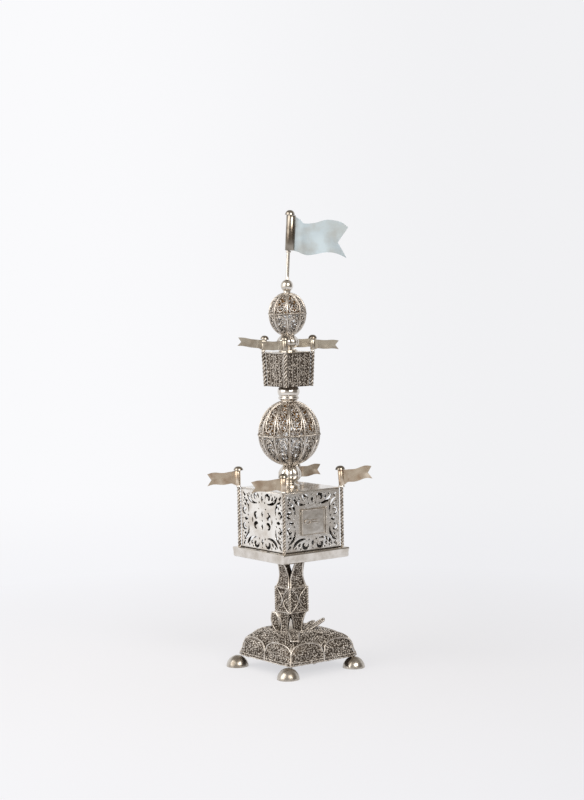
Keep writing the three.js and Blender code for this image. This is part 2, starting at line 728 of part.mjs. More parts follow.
function addTurret(prefix, sizes) {
  for (const { name, x, y } of corners) {
    const foot = new THREE.Vector3(x * sizes.footReach, y * sizes.footReach, sizes.footZ);
    const head = new THREE.Vector3(x * sizes.headReach, y * sizes.headReach, sizes.headZ);
    const sleeveHeight = sizes.sleeveHeight[name];
    const length = sizes.length[name];
    const pin = new THREE.Group();
    pin.position.copy(head);
    pin.setRotationFromAxisAngle(acrossHeading, THREE.MathUtils.degToRad(sizes.lean[name]));
    pin.updateMatrix();
    tower.add(pin);
    const post = makePost(foot, head, sizes.radius, sizes.pinRadius, sleeveHeight, pin);
    addPiece(`${prefix}_post_${name}`, post, "filigree");
    const shape = makeFlag({
      ...sizes,
      length,
      sleeveHeight,
      sheetHeight: 0.87 * sleeveHeight,
      bore: sizes.pinRadius + 0.15,
      offset: 0,
      drift: (share) => share * sizes.rise[name] * length,
    });
    const flag = addPiece(`${prefix}_flag_${name}`, shape, "gilt", pin);
    flag.position.z = collarHeight + runningGap;
    flag.rotation.z = THREE.MathUtils.degToRad(flagHeading + sizes.turn[name]);
    const cap = addPiece(`${prefix}_cap_${name}`, makeCap(sizes.cap, capHeight, sizes.pinRadius), "polished", pin);
    cap.position.z = collarHeight + sleeveHeight + 2 * runningGap;
  }
}

addTurret("box", {
  footReach: boxPostReach,
  headReach: boxPostReach,
  footZ: boxZ,
  headZ: lidTopZ,
  radius: postRadius,
  pinRadius: boxPinRadius,
  cap: capRadius,
  length: boxFlagLength,
  sleeveHeight: boxSleeveHeight,
  sleeveRadius: boxSleeveRadius,
  lean: boxPinLean,
  turn: boxFlagTurn,
  rise: boxFlagRise,
  wave: 0.7,
});

// Baluster: a bulb on a spread foot

function makeBaluster(height, radius, low) {
  const shape = [
    [0.53, 1],
    [0.6, 0.94],
    [0.78, 0.83],
    [0.95, 0.69],
    [1, 0.54],
    [0.93, 0.4],
    [0.74, 0.29],
    [0.5, 0.21],
    [0.55, 0.14],
    [0.84, 0.09],
    [0.84, 0],
  ];
  const points = shape.map(([share, level]) => [share * radius, level * height]);
  return turned([[0, height], ...points, [0, 0]], 16).translate(0, 0, low);
}

addPiece("baluster", makeBaluster(balusterHeight, balusterRadius, lidTopZ), "polished");

// Balls: ribbed half shells of openwork that meet a band at the equator. height is from the equator
// to the neck. Each panel between two ribs has windows that stand for the openings of the filigree.

function makeHalfBall({ radius, neck, height, ribs, windows, equatorZ, up, levels = 5 }) {
  const columns = 2 * ribs;
  const semi = height / Math.sqrt(1 - (neck / radius) ** 2);
  const last = Math.asin(height / semi);
  const ring = (level, inset) =>
    Array.from({ length: columns }, (_, k) => {
      const tilt = last * level;
      const rib = k % 2 === 0 && inset === 0 ? ribHeight * (1 - 0.5 * level) : 0;
      const reach = (radius - inset) * Math.cos(tilt) + rib;
      const angle = (k * Math.PI) / ribs;
      const z = equatorZ + up * Math.min(height, (semi - inset) * Math.sin(tilt) + (level === 1 ? inset : 0));
      return new THREE.Vector3(reach * Math.cos(angle), reach * Math.sin(angle), z);
    });
  const share = Array.from({ length: levels + 1 }, (_, i) => i / levels);
  const outside = share.map((level) => ring(level, 0));
  const inside = share.map((level) => ring(level, sheet)).reverse();
  const shell = solidOf(lofted([...outside, ...inside], true));

  // A wedge that narrows towards the ball's middle and cuts one window.
  const wedge = ([low, high], panel) => {
    const loopAt = (scale) =>
      [[-1, low], [1, low], [1, high], [-1, high]].map(([side, level]) => {
        const angle = ((2 * panel + 1 + side * ballWindowWidth) * Math.PI) / ribs;
        const reach = scale * radius * Math.cos(last * level);
        const z = equatorZ + up * scale * semi * Math.sin(last * level);
        return new THREE.Vector3(reach * Math.cos(angle), reach * Math.sin(angle), z);
      });
    const middle = (loop) => loop.reduce((sum, point) => sum.add(point), new THREE.Vector3()).multiplyScalar(0.25);
    return solidOf(lofted([[middle(loopAt(0.8))], loopAt(0.8), loopAt(1.15), [middle(loopAt(1.15))]]));
  };
  const panels = Array.from({ length: ribs }, (_, k) => k);
  const cuts = windows.flatMap((window) => panels.map((panel) => wedge(window, panel)));
  return cuts.reduce((left, cut) => left.subtract(cut), shell);
}

const ballNeckLow = 0.53 * balusterRadius;
const ballNeckHigh = 4.2;
const ball = { radius: ballRadius, ribs: ballRibs, windows: ballWindows };
addPiece(
  "ball_lower",
  makeHalfBall({ ...ball, neck: ballNeckLow, height: ballLowerHeight, equatorZ: ballBandZ, up: -1 }),
  "filigree",
);
addPiece("ball_band", ringAbout(ballRadius - sheet, ballRadius + ballBandLip, ballBandZ, ballUpperZ, 24), "filigree");
addPiece(
  "ball_upper",
  makeHalfBall({ ...ball, neck: ballNeckHigh, height: ballUpperHeight, equatorZ: ballUpperZ, up: 1 }),
  "filigree",
);

// Collar bead between the ball and the gallery

function makeCollarBead() {
  const shape = [
    [0.74, 1],
    [0.93, 0.84],
    [1, 0.66],
    [0.95, 0.48],
    [0.84, 0.36],
    [0.93, 0.27],
    [0.9, 0.18],
    [0.72, 0.09],
    [0.72, 0],
  ];
  const points = shape.map(([share, level]) => [share * collarBeadRadius, level * collarBeadHeight]);
  return turned([[0, collarBeadHeight], ...points, [0, 0]], 20).translate(0, 0, collarBeadZ);
}

addPiece("collar_bead", makeCollarBead(), "polished");

// Gallery: a box without a door that widens upwards, floor and walls soldered into one piece

function makeGallery() {
  const ringAt = (half, z) => corners.map((corner) => new THREE.Vector3(corner.x * half, corner.y * half, z));
  return lofted([
    [new THREE.Vector3(0, 0, galleryZ)],
    ringAt(galleryBottomHalf - sheet, galleryZ),
    ringAt(galleryTopHalf - sheet, galleryLidZ),
    ringAt(galleryTopHalf - 2 * sheet, galleryLidZ),
    ringAt(galleryBottomHalf - 2 * sheet, galleryZ + galleryFloor),
    [new THREE.Vector3(0, 0, galleryZ + galleryFloor)],
  ]);
}

// A raised filigree panel on each side, between the posts.
function galleryPanel(turn) {
  const rows = [
    [galleryZ, galleryBottomHalf],
    [galleryLidZ, galleryTopHalf],
  ];
  const panel = strip(
    rows.map(([z, half]) => [-1, 1].map((side) => new THREE.Vector3(side * (half - sheet), -half, z))),
    (point) => new THREE.Vector3(point.x, point.y + 1.3 * sheet, point.z),
  );
  return panel.rotateZ((turn * Math.PI) / 2);
}

addPiece("gallery_body", joined(makeGallery(), ...[0, 1, 2, 3].map(galleryPanel)), "filigree");
addPiece("gallery_lid", cutCornerPlate(galleryTopHalf, sheet, galleryLidZ, galleryLidTopZ), "polished");

addTurret("gallery", {
  footReach: galleryPostFootReach,
  headReach: galleryPostReach,
  footZ: galleryZ,
  headZ: galleryLidTopZ,
  radius: galleryPostRadius,
  pinRadius: galleryPinRadius,
  cap: galleryCapRadius,
  length: galleryFlagLength,
  sleeveHeight: gallerySleeveHeight,
  sleeveRadius: gallerySleeveRadius,
  lean: galleryPinLean,
  turn: galleryFlagTurn,
  rise: galleryFlagRise,
  wave: 0.6,
});

addPiece("upper_baluster", makeBaluster(upperBalusterHeight, upperBalusterRadius, galleryLidTopZ), "polished");

const smallNeckLow = 0.53 * upperBalusterRadius;
const smallNeckHigh = 2.4;
const smallBall = { radius: smallBallRadius, ribs: smallBallRibs, windows: smallBallWindows };
addPiece(
  "small_ball_lower",
  makeHalfBall({ ...smallBall, neck: smallNeckLow, height: smallBallLowerHeight, equatorZ: smallBandZ, up: -1 }),
  "filigree",
);
addPiece(
  "small_ball_band",
  ringAbout(smallBallRadius - sheet, smallBallRadius + ballBandLip, smallBandZ, smallBallUpperZ, 16),
  "filigree",
);
addPiece(
  "small_ball_upper",
  makeHalfBall({ ...smallBall, neck: smallNeckHigh, height: smallBallUpperHeight, equatorZ: smallBallUpperZ, up: 1 }),
  "filigree",
);

// Bead and standard. The bead has a flat below, and the standard leans about the bead's middle.

const beadFlat = 2;
const beadMiddleZ = beadZ + beadNeckHeight + Math.sqrt(beadRadius ** 2 - beadFlat ** 2);

function makeBead() {
  const flatAngle = Math.acos(beadFlat / beadRadius);
  const points = Array.from({ length: 7 }, (_, i) => {
    const angle = Math.PI / 2 - (i / 6) * (Math.PI / 2 + flatAngle);
    return [beadRadius * Math.cos(angle), beadRadius * Math.sin(angle)];
  });
  points[0][0] = 0;
  const neckZ = points[6][1] - beadNeckHeight;
  return turned([...points, [beadFlat, neckZ], [0, neckZ]], 14).translate(0, 0, beadMiddleZ);
}

addPiece("bead", makeBead(), "polished");

const lean = new THREE.Group();
lean.position.z = beadMiddleZ;
lean.setRotationFromAxisAngle(acrossHeading, THREE.MathUtils.degToRad(standardLean));
tower.add(lean);

const standardFoot = beadRadius + 0.1;
const bigFlagTop = standardFoot + standardLength - runningGap;
const bigFlagFoot = bigFlagTop - bigSleeveHeight;
const bigCollarTop = bigFlagFoot - runningGap;

addPiece(
  "standard",
  turned(
    [
      [0, standardFoot + standardLength],
      [standardRadius - 0.15, standardFoot + standardLength],
      [standardRadius - 0.15, bigCollarTop],
      [standardRadius + 0.5, bigCollarTop],
      [standardRadius + 0.5, bigCollarTop - standardCollarHeight],
      [standardRadius, bigCollarTop - standardCollarHeight],
      [standardRadius, standardFoot + 1.5],
      [standardRadius + 0.35, standardFoot],
      [0, standardFoot],
    ],
    12,
  ),
  "polished",
  lean,
);

// The big flag sags from its sleeve, rises to a crest and falls away to its tips.
function bigFlagDrift(share) {
  const line = [
    [0, 0],
    [0.1, -0.1],
    [0.2, -0.17],
    [0.38, -0.18],
    [0.52, -0.12],
    [0.7, -0.065],
    [0.84, -0.13],
    [1, -0.28],
  ];
  const next = Math.max(1, line.findIndex(([along]) => along >= share));
  const [fromShare, from] = line[next - 1];
  const [toShare, to] = line[next];
  return bigFlagHeight * (from + ((share - fromShare) / (toShare - fromShare)) * (to - from));
}

const bigFlag = addPiece(
  "big_flag",
  makeFlag({
    length: bigFlagLength,
    sleeveHeight: bigSleeveHeight,
    sheetHeight: bigFlagHeight,
    sleeveRadius: bigSleeveRadius,
    bore: bigSleeveBore,
    offset: bigSleeveOffset,
    wave: 1.3,
    drift: bigFlagDrift,
  }),
  "polished",
  lean,
);
bigFlag.position.z = bigFlagFoot;
bigFlag.rotation.z = headingAngle;

const bigCap = addPiece("standard_cap", makeCap(capRadius, 1.25 * capHeight, standardRadius - 0.15), "polished", lean);
bigCap.position.z = standardFoot + standardLength;

export default tower;
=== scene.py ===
"""The look of a silver spice tower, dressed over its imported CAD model, with sizes in millimetres."""

import math

import bmesh
import bpy
import numpy as np
from mathutils import Matrix, Vector


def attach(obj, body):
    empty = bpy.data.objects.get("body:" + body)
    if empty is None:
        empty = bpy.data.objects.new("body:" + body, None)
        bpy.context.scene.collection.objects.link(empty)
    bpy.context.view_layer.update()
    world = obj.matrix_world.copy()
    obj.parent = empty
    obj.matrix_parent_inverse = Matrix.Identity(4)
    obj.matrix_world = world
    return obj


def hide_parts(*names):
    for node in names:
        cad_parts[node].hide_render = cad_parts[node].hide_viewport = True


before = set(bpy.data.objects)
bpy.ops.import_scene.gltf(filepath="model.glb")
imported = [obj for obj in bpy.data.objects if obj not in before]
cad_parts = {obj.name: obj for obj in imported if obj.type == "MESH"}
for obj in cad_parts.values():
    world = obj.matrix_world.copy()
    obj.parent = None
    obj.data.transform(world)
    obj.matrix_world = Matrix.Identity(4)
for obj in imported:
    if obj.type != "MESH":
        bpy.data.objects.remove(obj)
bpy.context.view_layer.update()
scene = bpy.context.scene
mm = 0.001

# Camera
# The photographer stood about a metre away, a little above the tower, looking at its front corner.
# The camera leans by under a degree.

view_turn = math.radians(-38.031)
view_distance = 1050
view_height = 226.063
view_offset = 1.821
view_pitch = math.radians(4.289)
view_roll = math.radians(0.831)
frame_height = 800
focal_pixels = 1930.067

towards_camera = Vector((math.sin(view_turn), -math.cos(view_turn), 0))
camera_right = Vector((math.cos(view_turn), math.sin(view_turn), 0))
upwards = Vector((0, 0, 1))

ahead = -towards_camera * math.cos(view_pitch) - upwards * math.sin(view_pitch)
above = upwards * math.cos(view_pitch) - towards_camera * math.sin(view_pitch)
rolled_right = camera_right * math.cos(view_roll) - above * math.sin(view_roll)
rolled_up = camera_right * math.sin(view_roll) + above * math.cos(view_roll)


def linked(name, data):
    """A new object in the scene."""
    thing = bpy.data.objects.new(name, data)
    scene.collection.objects.link(thing)
    return thing


lens = bpy.data.cameras.new("camera")
lens.sensor_fit = "VERTICAL"
lens.sensor_height = 24
lens.lens = focal_pixels * lens.sensor_height / frame_height
camera = linked("camera", lens)
stand = towards_camera * view_distance + camera_right * view_offset + upwards * view_height
facing = Matrix((rolled_right, rolled_up, -ahead)).transposed().to_4x4()
camera.matrix_world = Matrix.Translation(stand * mm) @ facing
scene.camera = camera

# Studio
# A pale seamless floor and background. The left of the studio is bright and the room behind the
# camera on the right is darker, which is what gives the polished silver its greys.


def linear(hex_colour):
    """An sRGB hex colour as linear red, green, blue and alpha."""
    shares = [int(hex_colour[i : i + 2], 16) / 255 for i in (1, 3, 5)]
    return tuple(s / 12.92 if s <= 0.04045 else ((s + 0.055) / 1.055) ** 2.4 for s in shares) + (1.0,)


def add_node(tree, kind, inputs=None, **settings):
    """A node of a tree, with its settings, and with each input set to a value or linked to an output."""
    node = tree.nodes.new(kind)
    for name, value in settings.items():
        setattr(node, name, value)
    for socket, value in (inputs or {}).items():
        if isinstance(value, bpy.types.NodeSocket):
            tree.links.new(value, node.inputs[socket])
        else:
            node.inputs[socket].default_value = value
    return node


def turning(tree, place, axis, ends, colours, easing="SMOOTHSTEP"):
    """A colour that turns into another along an axis, between two distances on it."""
    far = add_node(tree, "ShaderNodeVectorMath", {0: place, 1: axis}, operation="DOT_PRODUCT")
    ramp = {"Value": far.outputs["Value"], "From Min": ends[0], "From Max": ends[1]}
    share = add_node(tree, "ShaderNodeMapRange", ramp, interpolation_type=easing).outputs["Result"]
    mix = {0: share, 6: colours[0], 7: colours[1]}
    return add_node(tree, "ShaderNodeMix", mix, data_type="RGBA").outputs[2]


paper_left, paper_right = linear("#fafafc"), linear("#f1f1f3")
window, room = linear("#f4f2f0"), linear("#7f7972")
camera_side, ceiling = linear("#b4afa9"), linear("#a8a29b")

world = bpy.data.worlds.new("studio")
scene.world = world
world.use_nodes = True
tree = world.node_tree
tree.nodes.clear()
direction = add_node(tree, "ShaderNodeTexCoord").outputs["Generated"]
paper = turning(tree, direction, camera_right, (-0.12, 0.12), (paper_left, paper_right))
walls = turning(tree, direction, camera_right, (-0.35, 0.75), (window, room))
walls = turning(tree, direction, -towards_camera, (-0.9, -0.45), (camera_side, walls))
panorama = turning(tree, direction, -towards_camera, (0.0, 0.45), (walls, paper))
panorama = turning(tree, direction, upwards, (0.35, 0.8), (panorama, ceiling))
seen = add_node(tree, "ShaderNodeLightPath").outputs["Is Camera Ray"]
shown = add_node(tree, "ShaderNodeMix", {0: seen, 6: panorama, 7: paper}, data_type="RGBA").outputs[2]
light = add_node(tree, "ShaderNodeBackground", {"Color": shown, "Strength": 1.0})
add_node(tree, "ShaderNodeOutputWorld", {"Surface": light.outputs["Background"]})

floor_left, floor_right = linear("#f5f5f8"), linear("#eeeef1")
floor_radius = 900

floor_paper = bpy.data.materials.new("seamless_paper")
floor_paper.use_nodes = True
tree = floor_paper.node_tree
tree.nodes.clear()
place = add_node(tree, "ShaderNodeTexCoord").outputs["Object"]
away = add_node(tree, "ShaderNodeVectorMath", {0: place}, operation="LENGTH").outputs["Value"]
colour = turning(tree, place, camera_right, (-0.12, 0.12), (floor_left, floor_right), "LINEAR")
lit = add_node(tree, "ShaderNodeBsdfDiffuse", {"Color": colour}).outputs[0]
own = add_node(tree, "ShaderNodeEmission", {"Color": colour, "Strength": 1.0}).outputs[0]
ramp = {"Value": away, "From Min": 0.1, "From Max": 0.35, "To Min": 0.3, "To Max": 0.0}
near = add_node(tree, "ShaderNodeMapRange", ramp).outputs["Result"]
surface = add_node(tree, "ShaderNodeMixShader", {0: near, 1: own, 2: lit}).outputs[0]
ramp = {"Value": away, "From Min": 0.25, "From Max": 0.85}
gone = add_node(tree, "ShaderNodeMapRange", ramp, interpolation_type="SMOOTHSTEP").outputs["Result"]
clear = add_node(tree, "ShaderNodeBsdfTransparent").outputs[0]
surface = add_node(tree, "ShaderNodeMixShader", {0: gone, 1: surface, 2: clear}).outputs[0]
add_node(tree, "ShaderNodeOutputMaterial", {"Surface": surface})

rim = [math.radians(3.75 * step) for step in range(96)]
floor_mesh = bpy.data.meshes.new("floor")
floor_points = [(floor_radius * mm * math.cos(a), floor_radius * mm * math.sin(a), 0) for a in rim]
floor_mesh.from_pydata(floor_points, [], [range(96)])
floor_mesh.materials.append(floor_paper)
linked("floor", floor_mesh)

# Where each lamp hangs, its width and height, and its power.
softboxes = {
    "window_light": ((-800, 120, 520), (700, 900), 4.4),
    "front_light": ((-180, -980, 700), (700, 560), 6.6),
}
for name, (spot, size, power) in softboxes.items():
    lamp = bpy.data.lights.new(name, "AREA")
    lamp.shape = "RECTANGLE"
    lamp.size, lamp.size_y = (length * mm for length in size)
    lamp.energy = power
    lamp.color = linear("#fffaf4")[:3]
    aim = (Vector((0, 0, 120)) - Vector(spot)).to_track_quat("-Z", "Y").to_matrix().to_4x4()
    linked(name, lamp).matrix_world = Matrix.Translation(Vector(spot) * mm) @ aim

scene.view_settings.view_transform = "Standard"

# Feet
# Four half balls raised from sheet silver. They are hollow with a thin flat rim.

corners = {"front": (-1, -1), "right": (1, -1), "back": (1, 1), "left": (-1, 1)}
base_half = 22.8
feet_shift = 1.6
foot_radius = 6.1
foot_wall = 0.8


def smooth_line(points, steps=6):
    """A smooth line through points, closed if the last one repeats the first."""
    points = np.array(points, float)
    ends_meet = np.allclose(points[0], points[-1])
    before = points[-2] if ends_meet else 2 * points[0] - points[1]
    after = points[1] if ends_meet else 2 * points[-1] - points[-2]
    padded = np.vstack([before, points, after])
    line = []
    for a, b, c, d in zip(padded, padded[1:], padded[2:], padded[3:]):
        for step in range(steps):
            t = step / steps
            curve = 2 * b + (c - a) * t + (2 * a - 5 * b + 4 * c - d) * t**2
            line.append(0.5 * (curve + (3 * b - a - 3 * c + d) * t**3))
    return np.array(line + [points[-1]])


def lathed(profile, turns=64):
    """Points and faces turned about the Z axis from (radius, height) pairs. A radius of 0 closes an end."""
    points, rings, faces = [], [], []
    for radius, height in profile:
        count = turns if radius > 1e-6 else 1
        rings.append((len(points), count))
        angles = [2 * math.pi * k / turns for k in range(count)]
        points += [(radius * math.cos(a), radius * math.sin(a), height) for a in angles]
    for (low, low_count), (high, high_count) in zip(rings, rings[1:]):
        for k in range(turns):
            corners_of_face = [low + k % low_count, low + (k + 1) % low_count]
            corners_of_face += [high + (k + 1) % high_count, high + k % high_count]
            faces.append(list(dict.fromkeys(corners_of_face)))
    return np.array(points), [face for face in faces if len(face) > 2]


def moved(shape, x=0.0, y=0.0, z=0.0):
    """A shape shifted along the axes."""
    return shape[0] + (x, y, z), shape[1]


def joined(shapes):
    """Several shapes as one pair of points and faces."""
    points, faces = [], []
    for shape_points, shape_faces in shapes:
        faces += [[index + len(points) for index in face] for face in shape_faces]
        points += list(shape_points)
    return points, faces


def cleaned(mesh, distance):
    """Welds a mesh's shared points and turns its faces outwards."""
    shell = bmesh.new()
    shell.from_mesh(mesh)
    bmesh.ops.remove_doubles(shell, verts=shell.verts, dist=distance)
    bmesh.ops.recalc_face_normals(shell, faces=shell.faces)
    shell.to_mesh(mesh)
    shell.free()


def new_piece(name, material, *shapes, sharp=35):
    """One closed mesh from shapes in mm, that faces outwards and is smooth but for its sharp edges."""
    points, faces = joined(shapes)
    mesh = bpy.data.meshes.new(name)
    mesh.from_pydata([np.array(point) * mm for point in points], [], faces)
    cleaned(mesh, 1e-7)
    mesh.polygons.foreach_set("use_smooth", [True] * len(mesh.polygons))
    mesh.set_sharp_from_angle(angle=math.radians(sharp))
    mesh.materials.append(material)
    return linked(name, mesh)


def fitted(piece, body, slot, *nodes):
    """Joins a finished piece to its body, and lets it stand for CAD nodes."""
    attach(piece, body)
    if nodes:
        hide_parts(*nodes)
    return piece


def tarnish(tree, size, detail, ends, clean, tarnished):
    """Soft patches of a size in mm: how much tarnish lies at a place, and the colour there."""
    place = add_node(tree, "ShaderNodeTexCoord").outputs["Object"]
    patches = {"Vector": place, "Scale": 1000 / size, "Detail": detail}
    level = add_node(tree, "ShaderNodeTexNoise", patches).outputs["Fac"]
    ramp = {"Value": level, "From Min": ends[0], "From Max": ends[1]}
    amount = add_node(tree, "ShaderNodeMapRange", ramp).outputs["Result"]
    mix = {0: amount, 6: linear(clean), 7: linear(tarnished)}
    return amount, add_node(tree, "ShaderNodeMix", mix, data_type="RGBA").outputs[2]


def metal(name, paint):
    """A metal with the shader inputs that a function of its node tree makes."""
    material = bpy.data.materials.new(name)
    material.use_nodes = True
    tree = material.node_tree
    shader = tree.nodes["Principled BSDF"]
    shader.inputs["Metallic"].default_value = 1.0
    for socket, value in paint(tree).items():
        tree.links.new(value, shader.inputs[socket])
    return material


rub_mark = 0.7


def sheet_metal(name, clean, tarnished, patch, smooth, dull, dent, line_height=0.0):
    """A polished sheet: tarnish patches and planishing dents of a size in mm, fine rubbing marks, and
    chased lines of a height in mm."""

    def paint(tree):
        amount, colour = tarnish(tree, patch, 5.0, (0.38, 0.66), clean, tarnished)
        place = add_node(tree, "ShaderNodeTexCoord").outputs["Object"]
        reliefs = []
        for size, detail, strength, height in ((dent, 1.0, 0.5, 0.12), (rub_mark, 3.0, 0.25, 0.01)):
            marks = {"Vector": place, "Scale": 1000 / size, "Detail": detail}
            rubbed = add_node(tree, "ShaderNodeTexNoise", marks).outputs["Fac"]
            reliefs.append((rubbed, strength, height))
        worn = add_node(tree, "ShaderNodeMath", {0: amount, 1: rubbed}, operation="MULTIPLY").outputs[0]
        if line_height:
            wave = {"Vector": place, "Scale": 190.0, "Distortion": 9.0, "Detail": 2.0, "Detail Scale": 1.6}
            chased = add_node(tree, "ShaderNodeTexWave", wave).outputs["Fac"]
            reliefs.append((chased, 0.35, line_height))
        normal = None
        for level, strength, height in reliefs:
            relief = {"Height": level, "Strength": strength, "Distance": height * mm}
            if normal:
                relief["Normal"] = normal
            normal = add_node(tree, "ShaderNodeBump", relief).outputs["Normal"]
        ramp = {"Value": worn, "From Max": 0.6, "To Min": smooth, "To Max": dull}
        roughness = add_node(tree, "ShaderNodeMapRange", ramp).outputs["Result"]
        return {"Base Color": colour, "Roughness": roughness, "Normal": normal}

    return metal(name, paint)


# Sterling sheet, raised with a hammer and polished by hand: bright, with soft dents that bend the
# reflections and a thin warm tarnish where a cloth doesn't reach.
polished_silver = sheet_metal(
    "polished_silver", "#e4dfd8", "#cbc4ba", patch=5, smooth=0.14, dull=0.28, dent=3.5
)

# The same sheet on the feet, rougher from scuffing on table tops, and greyer all over as painted shade for
# their darker reflections.
foot_silver_painted_shade = sheet_metal(
    "foot_silver_painted_shade", "#cdc7be", "#958c80", patch=4, smooth=0.22, dull=0.38, dent=3.5
)

quarter = np.linspace(0, math.pi / 2, 14)
foot_outside = [(foot_radius * math.sin(a), foot_radius * math.cos(a)) for a in quarter]
foot_hollow = foot_radius - foot_wall
foot_inside = [(foot_hollow * math.sin(a), foot_hollow * math.cos(a)) for a in quarter[::-1]]
foot_outside[-1] = (foot_radius, 0)
foot_inside[0] = (foot_hollow, 0)
foot_shape = lathed(foot_outside + foot_inside, turns=48)
for corner, (x, y) in corners.items():
    spot = Vector((x * base_half, y * base_half, 0)) + camera_right * feet_shift
    foot = new_piece(f"foot_ball_{corner}", foot_silver_painted_shade, moved(foot_shape, spot.x, spot.y), sharp=50)
    fitted(foot, "tower", "polished_silver", f"foot_{corner}")

# Base
# A square cushion of filigree: small curls of flat wire inside outlines of thicker wire, soldered
# to each other. Two arches fill each side, seams run up its middle and its corners.

base_height = 15.3
base_bulge = 1.1
base_shift = 3
dish_depth = 3.1
dish_radius = 8.6
rim_height = foot_radius + 0.3
dish_height = rim_height + base_height - dish_depth
cushion_rows = [
    (0, base_half, 90, 1),
    (0.19 * base_height, 0.995 * base_half, 22, 1),
    (0.45 * base_height, 0.975 * base_half, 13, 1),
    (0.64 * base_height, 0.93 * base_half, 9, 0.93),
    (0.8 * base_height, 0.86 * base_half, 6, 0.75),
    (0.91 * base_height, 0.77 * base_half, 4.8, 0.45),
    (0.98 * base_height, 0.65 * base_half, 4, 0.15),
    (base_height, 0.5 * base_half, 3, 0),
    (base_height - 0.45 * dish_depth, dish_radius + 0.8, 2.4, 0),
    (base_height - dish_depth, dish_radius, 2.1, 0),
]
row_steps = 6
fine_rows = smooth_line(cushion_rows, row_steps)


def cushion_point(row, turn, inset=0.0):
    """A point of the cushion's skin on a row from 0 at the rim to 9 in the dish, at an angle in degrees."""
    place = min(row, 9) * row_steps
    low = int(min(place, len(fine_rows) - 2))
    height, half, squareness, share = fine_rows[low] + (place - low) * (fine_rows[low + 1] - fine_rows[low])
    cos, sin = math.cos(math.radians(turn)), math.sin(math.radians(turn))
    small, large = sorted((abs(cos), abs(sin)))
    reach = (half - inset) / (large * (1 + (small / large) ** squareness) ** (1 / squareness))
    swell = base_bulge * math.sin(math.pi * small / large) ** 2 * math.sin(math.pi * height / base_height)
    radius = reach + max(0, swell)
    centre = camera_right * share * base_shift
    return Vector((radius * cos, radius * sin, rim_height + height - inset)) + centre


def on_cushion(row, turn, lift):
    """A point that stands off the cushion's skin."""
    along = cushion_point(row, turn + 0.5) - cushion_point(row, turn - 0.5)
    rise = cushion_point(row + 0.1, turn) - cushion_point(row - 0.1 if row > 0.1 else 0, turn)
    return cushion_point(row, turn) + along.cross(rise).normalized() * lift


def node_group(name, inputs, output):
    """A geometry node group with inputs, each a kind and a value, and what its input node gives."""
    tree = bpy.data.node_groups.new(name, "GeometryNodeTree")
    for input_name, (kind, value) in inputs.items():
        socket = tree.interface.new_socket(name=input_name, in_out="INPUT", socket_type=f"NodeSocket{kind}")
        if value is not None:
            socket.default_value = value
    tree.interface.new_socket(name=output, in_out="OUTPUT", socket_type="NodeSocketGeometry")
    return tree, add_node(tree, "NodeGroupInput").outputs


def finished(tree, geometry, wire, output):
    """Ends a node group: its instances become real and get their material."""
    real = add_node(tree, "GeometryNodeRealizeInstances", {"Geometry": geometry}).outputs["Geometry"]
    made = add_node(tree, "GeometryNodeSetMaterial", {"Geometry": real, "Material": wire}).outputs["Geometry"]
    add_node(tree, "NodeGroupOutput", {output: made})


# Flat wire rolled into open spirals and soldered on edge all over a skin.
curl_inputs = {
    "Skin": ("Geometry", None),
    "Spacing": ("Float", 0.0013),
    "Radius": ("Float", 0.00066),
    "Turns": ("Float", 1.5),
    "Wire Width": ("Float", 0.00024),
    "Wire Height": ("Float", 0.0005),
    "Seed": ("Int", 3),
    "Wire": ("Material", None),
}
curls_tree, given = node_group("curls_on_a_skin", curl_inputs, "Curls")
most_per_square_metre = 2000000.0
spread = {"Mesh": given["Skin"], "Distance Min": given["Spacing"], "Seed": given["Seed"]}
spread["Density Max"] = most_per_square_metre
scatter = add_node(curls_tree, "GeometryNodeDistributePointsOnFaces", spread, distribute_method="POISSON")
spots = scatter.outputs
spin = add_node(curls_tree, "FunctionNodeRandomValue", {2: 0.0, 3: 6.283}, data_type="FLOAT").outputs[1]
about_normal = {"Axis": (0, 0, 1), "Angle": spin}
spun = add_node(curls_tree, "FunctionNodeAxisAngleToRotation", about_normal).outputs["Rotation"]
turn = {"Rotation": spots["Rotation"], "Rotate By": spun}
lie = add_node(curls_tree, "FunctionNodeRotateRotation", turn, rotation_space="LOCAL").outputs["Rotation"]
winding = {"Resolution": 7, "Rotations": given["Turns"], "Height": 0.0}
winding.update({"Start Radius": 0.00008, "End Radius": given["Radius"]})
spiral = add_node(curls_tree, "GeometryNodeCurveSpiral", winding).outputs["Curve"]
flat = {"Width": given["Wire Width"], "Height": given["Wire Height"]}
ribbon = add_node(curls_tree, "GeometryNodeCurvePrimitiveQuadrilateral", flat).outputs["Curve"]
drawing = {"Curve": spiral, "Profile Curve": ribbon, "Fill Caps": True}
curl = add_node(curls_tree, "GeometryNodeCurveToMesh", drawing).outputs["Mesh"]
size = add_node(curls_tree, "FunctionNodeRandomValue", {2: 0.8, 3: 1.12, 8: 5}, data_type="FLOAT").outputs[1]
planting = {"Points": spots["Points"], "Instance": curl, "Rotation": lie, "Scale": size}
planted = add_node(curls_tree, "GeometryNodeInstanceOnPoints", planting).outputs["Instances"]
finished(curls_tree, planted, given["Wire"], "Curls")

